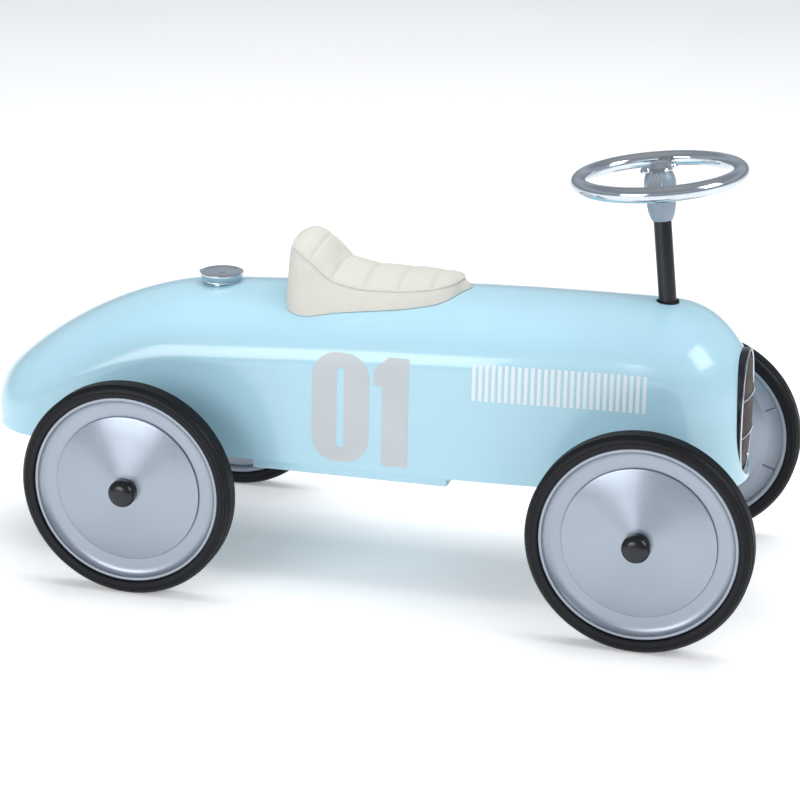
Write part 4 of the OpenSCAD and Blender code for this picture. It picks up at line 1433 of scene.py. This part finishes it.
@dataclass
class Seat:
    """The stitched seat: plain skirt, piped edge and five rolls across."""

    form: BodyForm
    back_x: float = -0.0795
    front_x: float = 0.0878
    voxel: float = 0.004
    cap: float = 0.005
    start_in: float = 0.001
    tuck: float = 0.012
    board: Pair = (-0.064, 0.066)
    board_w: float = 0.68
    edge_share: float = 0.7
    welt_r: float = 0.0008
    groove: float = 0.0013
    groove_w: float = 0.0017
    roll: float = 0.0008
    skirt: Sequence[Pair] = (
        (-0.080, 0.039), (-0.077, 0.050), (-0.073, 0.0565), (-0.066, 0.0615), (-0.055, 0.0650),
        (-0.047, 0.0652),
        (-0.014, 0.0600), (0.031, 0.052), (0.055, 0.0475), (0.0705, 0.0425), (0.080, 0.031),
        (0.086, 0.018),
        (0.088, 0.010),
    )
    welt: Sequence[Pair] = (
        (-0.080, 0.026), (-0.077, 0.032), (-0.072, 0.037), (-0.065, 0.040), (-0.055, 0.041),
        (0.025, 0.041),
        (0.050, 0.036), (0.062, 0.0305), (0.070, 0.024), (0.076, 0.0145), (0.079, 0.0015),
        (0.088, 0.001),
    )
    edge: Sequence[Pair] = (
        (-0.080, 0.3060), (-0.077, 0.307), (-0.070, 0.305), (-0.055, 0.295), (-0.038, 0.281),
        (-0.020, 0.276),
        (0.0, 0.2745), (0.024, 0.275), (0.050, 0.2765), (0.070, 0.2785), (0.079, 0.2795),
        (0.084, 0.2780), (0.088, 0.2740),
    )
    crown: Sequence[Pair] = (
        (-0.080, 0.001), (-0.078, 0.003), (-0.0724, 0.008), (-0.0637, 0.015), (-0.054, 0.0185),
        (-0.045, 0.018),
        (-0.033, 0.0125), (-0.005, 0.0085), (0.025, 0.0075), (0.055, 0.006), (0.070, 0.0050),
        (0.079, 0.0012),
        (0.088, 0.0),
    )
    seams: Sequence[Pair] = (
        (-0.0510, -0.0055), (-0.0327, -0.0030), (-0.0048, -0.0016), (0.0247, 0.0009),
        (0.0552, 0.0008),
    )

    def _station(self, u: float) -> float:
        """Place along the seat, crowded towards both ends."""
        return self.back_x + (self.front_x - self.back_x) * (1 - math.cos(math.pi * u)) / 2

    def _upper(self, u: float, v: float) -> Triple:
        """A point of the skirt or of the crowned top."""
        x, t = self._station(u), 2 * v - 1
        wide, welt, edge = along(self.skirt, x), along(self.welt, x), along(self.edge, x)
        wide, welt = wide - self.start_in, welt - self.start_in
        m, side = abs(t), (1 if t > 0 else -1)
        if m > self.edge_share:
            q = (m - self.edge_share) / (1 - self.edge_share)
            foot = self.form.top(x, wide, -self.tuck)
            belly = 0.0022 * math.sin(math.pi * q)
            return (x, side * (welt + (wide - welt) * q + belly), edge + (foot - edge) * q)
        share = t / self.edge_share
        return (x, welt * share, edge + along(self.crown, x) * (1 - share * share) - self.start_in)

    def _lower(self, u: float, v: float) -> Triple:
        """A point of the underside, tucked below the body until the pad is rested on it."""
        x, t = self._station(u), 2 * v - 1
        y = (along(self.skirt, x) - self.start_in) * t
        return (x, y, self.form.top(x, y, -self.tuck))

    def _bed(self, back: float, front: float, half_w: Callable[[float], float],
             gap: float) -> bmesh.types.BMesh:
        """A block whose top lies a little above the body, to trim the pad with.

        Args:
            back: where it starts.
            front: where it ends.
            half_w: its half width at a place along the car.
            gap: height of its top above the body.

        Returns:
            The block.
        """

        def place(u: float, v: float) -> Triple:
            """Point of the top."""
            x = back + (front - back) * u
            y = (2 * v - 1) * half_w(x)
            return (x, y, self.form.top(x, y, gap))

        mesh = patch(56, 48, place)
        low = bmesh.ops.extrude_face_region(mesh, geom=mesh.faces[:])
        for vert in low["geom"]:
            if isinstance(vert, bmesh.types.BMVert):
                vert.co.z = 0.2
        bmesh.ops.recalc_face_normals(mesh, faces=mesh.faces)
        return mesh

    def base(self, bench: Assembler) -> None:
        """Presses the plywood board that the cover is drawn over."""

        def place(u: float, v: float) -> Triple:
            """Point on the underside of the board."""
            x = self.board[0] + (self.board[1] - self.board[0]) * u
            y = (2 * v - 1) * self.board_w * along(self.skirt, x)
            return (x, y, self.form.top(x, y, 0.0006))

        piece = as_object(patch(40, 30, place), "seat_plywood_base")
        if piece.data.polygons[0].normal.z < 0:
            piece.data.flip_normals()
        wall = piece.modifiers.new("wall", "SOLIDIFY")
        wall.thickness, wall.offset = 0.003, 1.0
        settle(piece)
        bench.fit(piece, Paint.BOARD, "chassis", ["seat_base"])

    def cover(self) -> bpy.types.Object:
        """Makes the closed cover before it is filled."""
        mesh = patch(64, 48, self._upper)
        patch(64, 48, self._lower, mesh)
        bmesh.ops.remove_doubles(mesh, verts=mesh.verts, dist=2e-5)
        holes = [e for e in mesh.edges if e.is_boundary]
        bmesh.ops.holes_fill(mesh, edges=holes, sides=400)
        bmesh.ops.recalc_face_normals(mesh, faces=mesh.faces)
        piece = as_object(mesh, "seat_pad")
        remesh = piece.modifiers.new("weave", "REMESH")
        remesh.mode = "VOXEL"
        remesh.voxel_size = self.voxel
        settle(piece)
        return piece

    def stuff(self, piece: bpy.types.Object) -> None:
        """Blows the cover up as its filling would, held along its foot."""
        data = piece.data
        start = [v.co.copy() for v in data.vertices]
        held = piece.vertex_groups.new(name="held")
        held.add([v.index for v in data.vertices if v.co.z < self.form.top(v.co.x, v.co.y, 0.002)],
                 1.0, "REPLACE")
        cloth = piece.modifiers.new("filling", "CLOTH")
        cloth.settings.use_pressure = True
        cloth.settings.uniform_pressure_force = 4.0
        cloth.settings.vertex_group_mass = "held"
        cloth.settings.effector_weights.gravity = 0.0
        cloth.point_cache.frame_start, cloth.point_cache.frame_end = 1, 20
        scene = bpy.context.scene
        for step in range(1, 21):
            scene.frame_set(step)
        settle(piece)
        scene.frame_set(1)
        for vert, before in zip(piece.data.vertices, start):
            move = vert.co - before
            if move.length > self.cap:
                vert.co = before + move * (self.cap / move.length)
        piece.vertex_groups.clear()

    def sew(self, piece: bpy.types.Object) -> None:
        """Draws in the channels between the rolls and rests the pad on the body."""
        smooth = piece.modifiers.new("smooth", "SMOOTH")
        smooth.factor, smooth.iterations = 0.5, 4
        fine = piece.modifiers.new("fine", "SUBSURF")
        fine.levels = fine.render_levels = 2
        settle(piece)
        mesh = bmesh.new()
        mesh.from_mesh(piece.data)
        mesh.normal_update()
        for vert in mesh.verts:
            x, y, z = vert.co
            near = along(self.welt, x) - abs(y)
            top = min(1.0, max(0.0, near / 0.004)) * min(1.0, max(0.0, (vert.normal.z - 0.05) / 0.3))
            lines = [x - place - bow * (y / 0.038) ** 2 for place, bow in self.seams]
            gap = min(abs(d) for d in lines)
            draw = self.groove * math.exp(-((gap / self.groove_w) ** 2))
            draw = draw - self.roll * min(1.0, gap / 0.012) ** 0.8
            vert.co.z = z - draw * top
        mesh.to_mesh(piece.data)
        mesh.free()
        cut(piece, self._bed(-0.100, 0.110, lambda _: 0.076, 0.0006))
        rim = self.board_w + 0.03
        cut(piece, self._bed(self.board[0] - 0.002, self.board[1] + 0.002,
                             lambda x: rim * along(self.skirt, x), 0.0042))

    def _rim_path(self, points: int = 150) -> list[Vector]:
        """The line of the piping, once round the top."""
        loop = []
        back, front = self.back_x + 0.003, 0.0788
        for k in range(points):
            x = back + (front - back) * (1 - math.cos(math.pi * k / (points - 1))) / 2
            loop.append(Vector((x, along(self.welt, x), along(self.edge, x))))
        far = [Vector((p.x, -p.y, p.z)) for p in reversed(loop)]
        wide, arch = loop[0].y, loop[0].z
        start = [
            Vector((loop[0].x, wide * s,
                    arch + 0.003 * (1 - s * s))) for s in (x / 12 for x in range(-11, 12))
        ]
        return loop + far + start

    def trimmings(self, bench: Assembler, piece: bpy.types.Object) -> None:
        """Sews the piping round the top and the threads along the channels."""
        bpy.context.view_layer.update()
        surface = bvhtree.BVHTree.FromObject(piece, bpy.context.evaluated_depsgraph_get())
        path = []
        for at in self._rim_path():
            point, normal, _, _ = surface.find_nearest(at)
            path.append(point + normal * 0.0003)
        for _ in range(3):
            path = [(path[k - 1] + p * 2 + path[(k + 1) % len(path)]) / 4 for k,
                    p in enumerate(path)]
        welt = as_object(tubes([path], self.welt_r, 3, True), "seat_piping")
        bench.fit(welt, Paint.SEAT, "chassis", ["seat_cushion"])
        threads = []
        for place, bow in self.seams:
            line = []
            reach = along(self.welt, place) - 0.003
            for k in range(61):
                y = -reach + 2 * reach * k / 60
                hit, normal, _, _ = surface.ray_cast(Vector((place + bow * (y / 0.038) ** 2, y,
                                                             0.34)), Vector((0, 0, -1)))
                if hit:
                    line.append(hit + normal * (0.0002 if k % 2 else -0.0003))
            threads.append(line)
        sewn = as_object(tubes(threads, 0.00032, 1), "seat_threads")
        bench.fit(sewn, Paint.SEAT, "chassis", ["seat_cushion"])

    def build(self, bench: Assembler) -> None:
        """Builds the seat."""
        self.base(bench)
        piece = self.cover()
        self.stuff(piece)
        self.sew(piece)
        self.trimmings(bench, piece)
        bench.fit(piece, Paint.SEAT, "chassis", ["seat_cushion"])


# ---------------------------------------------------------------- running gear


@dataclass
class RunningGear:
    """The nodes whose shape comes straight from the frame."""

    shop: PaintShop

    def build(self) -> None:
        """Gives each node that is still shown the finish of its slot."""
        by_slot = {paint.value: paint for paint in Paint}
        for part in frame["record"]["subparts"]:
            node = frame["nodes"][part["node"]]
            paint = by_slot[part["material_slot"]]
            material = self.shop.get(Paint.RIM if paint is Paint.DISC else paint)
            for slot in node.material_slots:
                slot.material = material
            LOG.info("%s: finished as %s", part["node"], paint.value)


# ---------------------------------------------------------------- studio


@dataclass
class Studio:
    """Camera, pale floor and soft lights."""

    eye: Triple = (0.63544, -2.24057, 0.94295)
    pan: float = math.radians(15.388)
    dip: float = math.radians(18.706)
    roll: float = math.radians(0.447)
    lens: float = 118.435

    def camera(self) -> None:
        """Sets the camera up."""
        data = bpy.data.cameras.new("studio_camera")
        data.lens, data.sensor_width = self.lens, 36.0
        data.clip_start, data.clip_end = 0.05, 50.0
        holder = bpy.data.objects.new("studio_camera", data)
        turn = (
            Matrix.Rotation(self.pan, 4, "Z")
            @ Matrix.Rotation(math.pi / 2 - self.dip, 4, "X")
            @ Matrix.Rotation(self.roll, 4, "Z")
        )
        holder.matrix_world = Matrix.Translation(self.eye) @ turn
        bpy.context.scene.collection.objects.link(holder)
        bpy.context.scene.camera = holder

    def floor(self) -> None:
        """Lays the pale floor."""
        mesh = bmesh.new()
        bmesh.ops.create_grid(mesh, x_segments=2, y_segments=2, size=14.0)
        piece = as_object(mesh, "studio_floor")
        recipe = Recipe("studio_paper")
        grain = recipe.noise(3.0, 2.0)
        piece.data.materials.append(
            recipe.finish(
                Base_Color=recipe.blend(grain, (0.90, 0.90, 0.90), (0.92, 0.92, 0.92)),
                Roughness=grain * 0.1 + 0.6,
                Specular_IOR_Level=0.2,
                Emission_Color=(1.0, 1.0, 1.0, 1.0),
                Emission_Strength=0.24,
            )
        )

    def softbox(self, name: str, azimuth: float, height: float, reach: float, size: Pair,
                power: float, gloss: bool = True) -> None:
        """Hangs a softbox that faces the car.

        Args:
            name: its name.
            azimuth: its direction from +X, in degrees.
            height: its angle above the floor, in degrees.
            reach: its distance, in metres.
            size: its width and height, in metres.
            power: its power, in watts.
            gloss: whether it is mirrored in shiny surfaces.
        """
        data = bpy.data.lights.new(name, "AREA")
        data.shape = "RECTANGLE"
        data.size, data.size_y = size
        data.energy = power
        lamp = bpy.data.objects.new(name, data)
        a, e = math.radians(azimuth), math.radians(height)
        way = Vector((math.cos(a) * math.cos(e), math.sin(a) * math.cos(e), math.sin(e)))
        lamp.location = Vector((0.0, 0.0, 0.2)) + way * reach
        lamp.rotation_euler = way.to_track_quat("Z", "Y").to_euler()
        lamp.visible_camera = False
        lamp.visible_glossy = gloss
        bpy.context.scene.collection.objects.link(lamp)

    def build(self) -> None:
        """Sets the studio up."""
        self.camera()
        self.floor()
        self.softbox("side_strip", -111.0, 18.0, 2.7, (1.5, 1.15), 26.0)
        self.softbox("nose_box", -7.0, 33.0, 2.4, (0.95, 1.1), 15.0)
        self.softbox("top_box", 90.0, 78.0, 2.8, (3.2, 2.4), 70.0, False)
        world = bpy.data.worlds.new("studio_air")
        world.use_nodes = True
        tree = world.node_tree
        sky = tree.nodes["Background"]
        way = tree.nodes.new("ShaderNodeTexCoord")
        parts = tree.nodes.new("ShaderNodeSeparateXYZ")
        ramp = tree.nodes.new("ShaderNodeValToRGB")
        tree.links.new(way.outputs["Generated"], parts.inputs[0])
        tree.links.new(parts.outputs["Z"], ramp.inputs["Fac"])
        tree.links.new(ramp.outputs["Color"], sky.inputs["Color"])
        ramp.color_ramp.interpolation = "EASE"
        for at, tone in ((0.0, 0.75), (0.35, 0.30), (0.62, 0.85), (1.0, 1.25)):
            stops = ramp.color_ramp.elements
            stop = stops.new(at) if 0 < at < 1 else stops[int(at)]
            stop.color = (0.84 * tone, 0.91 * tone, tone, 1.0)
        sky.inputs["Strength"].default_value = 0.42
        bpy.context.scene.world = world
        bpy.context.scene.view_settings.view_transform = "Standard"


# ---------------------------------------------------------------- assembly


def main() -> None:
    """Builds the whole car and its studio."""
    logging.basicConfig(level=logging.INFO, format="%(message)s")
    shop = PaintShop()
    bench = Assembler(shop)
    form = BodyForm()
    steering = Steering()
    Bodywork(form).build(bench, steering.place)
    Grille().build(bench)
    Filler().build(bench)
    steering.build(bench)
    for name, x, side, nut_node, nut_body in (
        ("front_left", 0.275, 1, "front_hub_nut_left", "left_knuckle"),
        ("front_right", 0.275, -1, "front_hub_nut_right", "right_knuckle"),
        ("rear_left", -0.195, 1, "rear_hub_nuts", "chassis"),
        ("rear_right", -0.195, -1, "rear_hub_nuts", "chassis"),
    ):
        RoadWheel(name, x, side, nut_node, nut_body).build(bench)
    Seat(form).build(bench)
    RunningGear(shop).build()
    Studio().build()


if __name__ == "__main__":
    main()
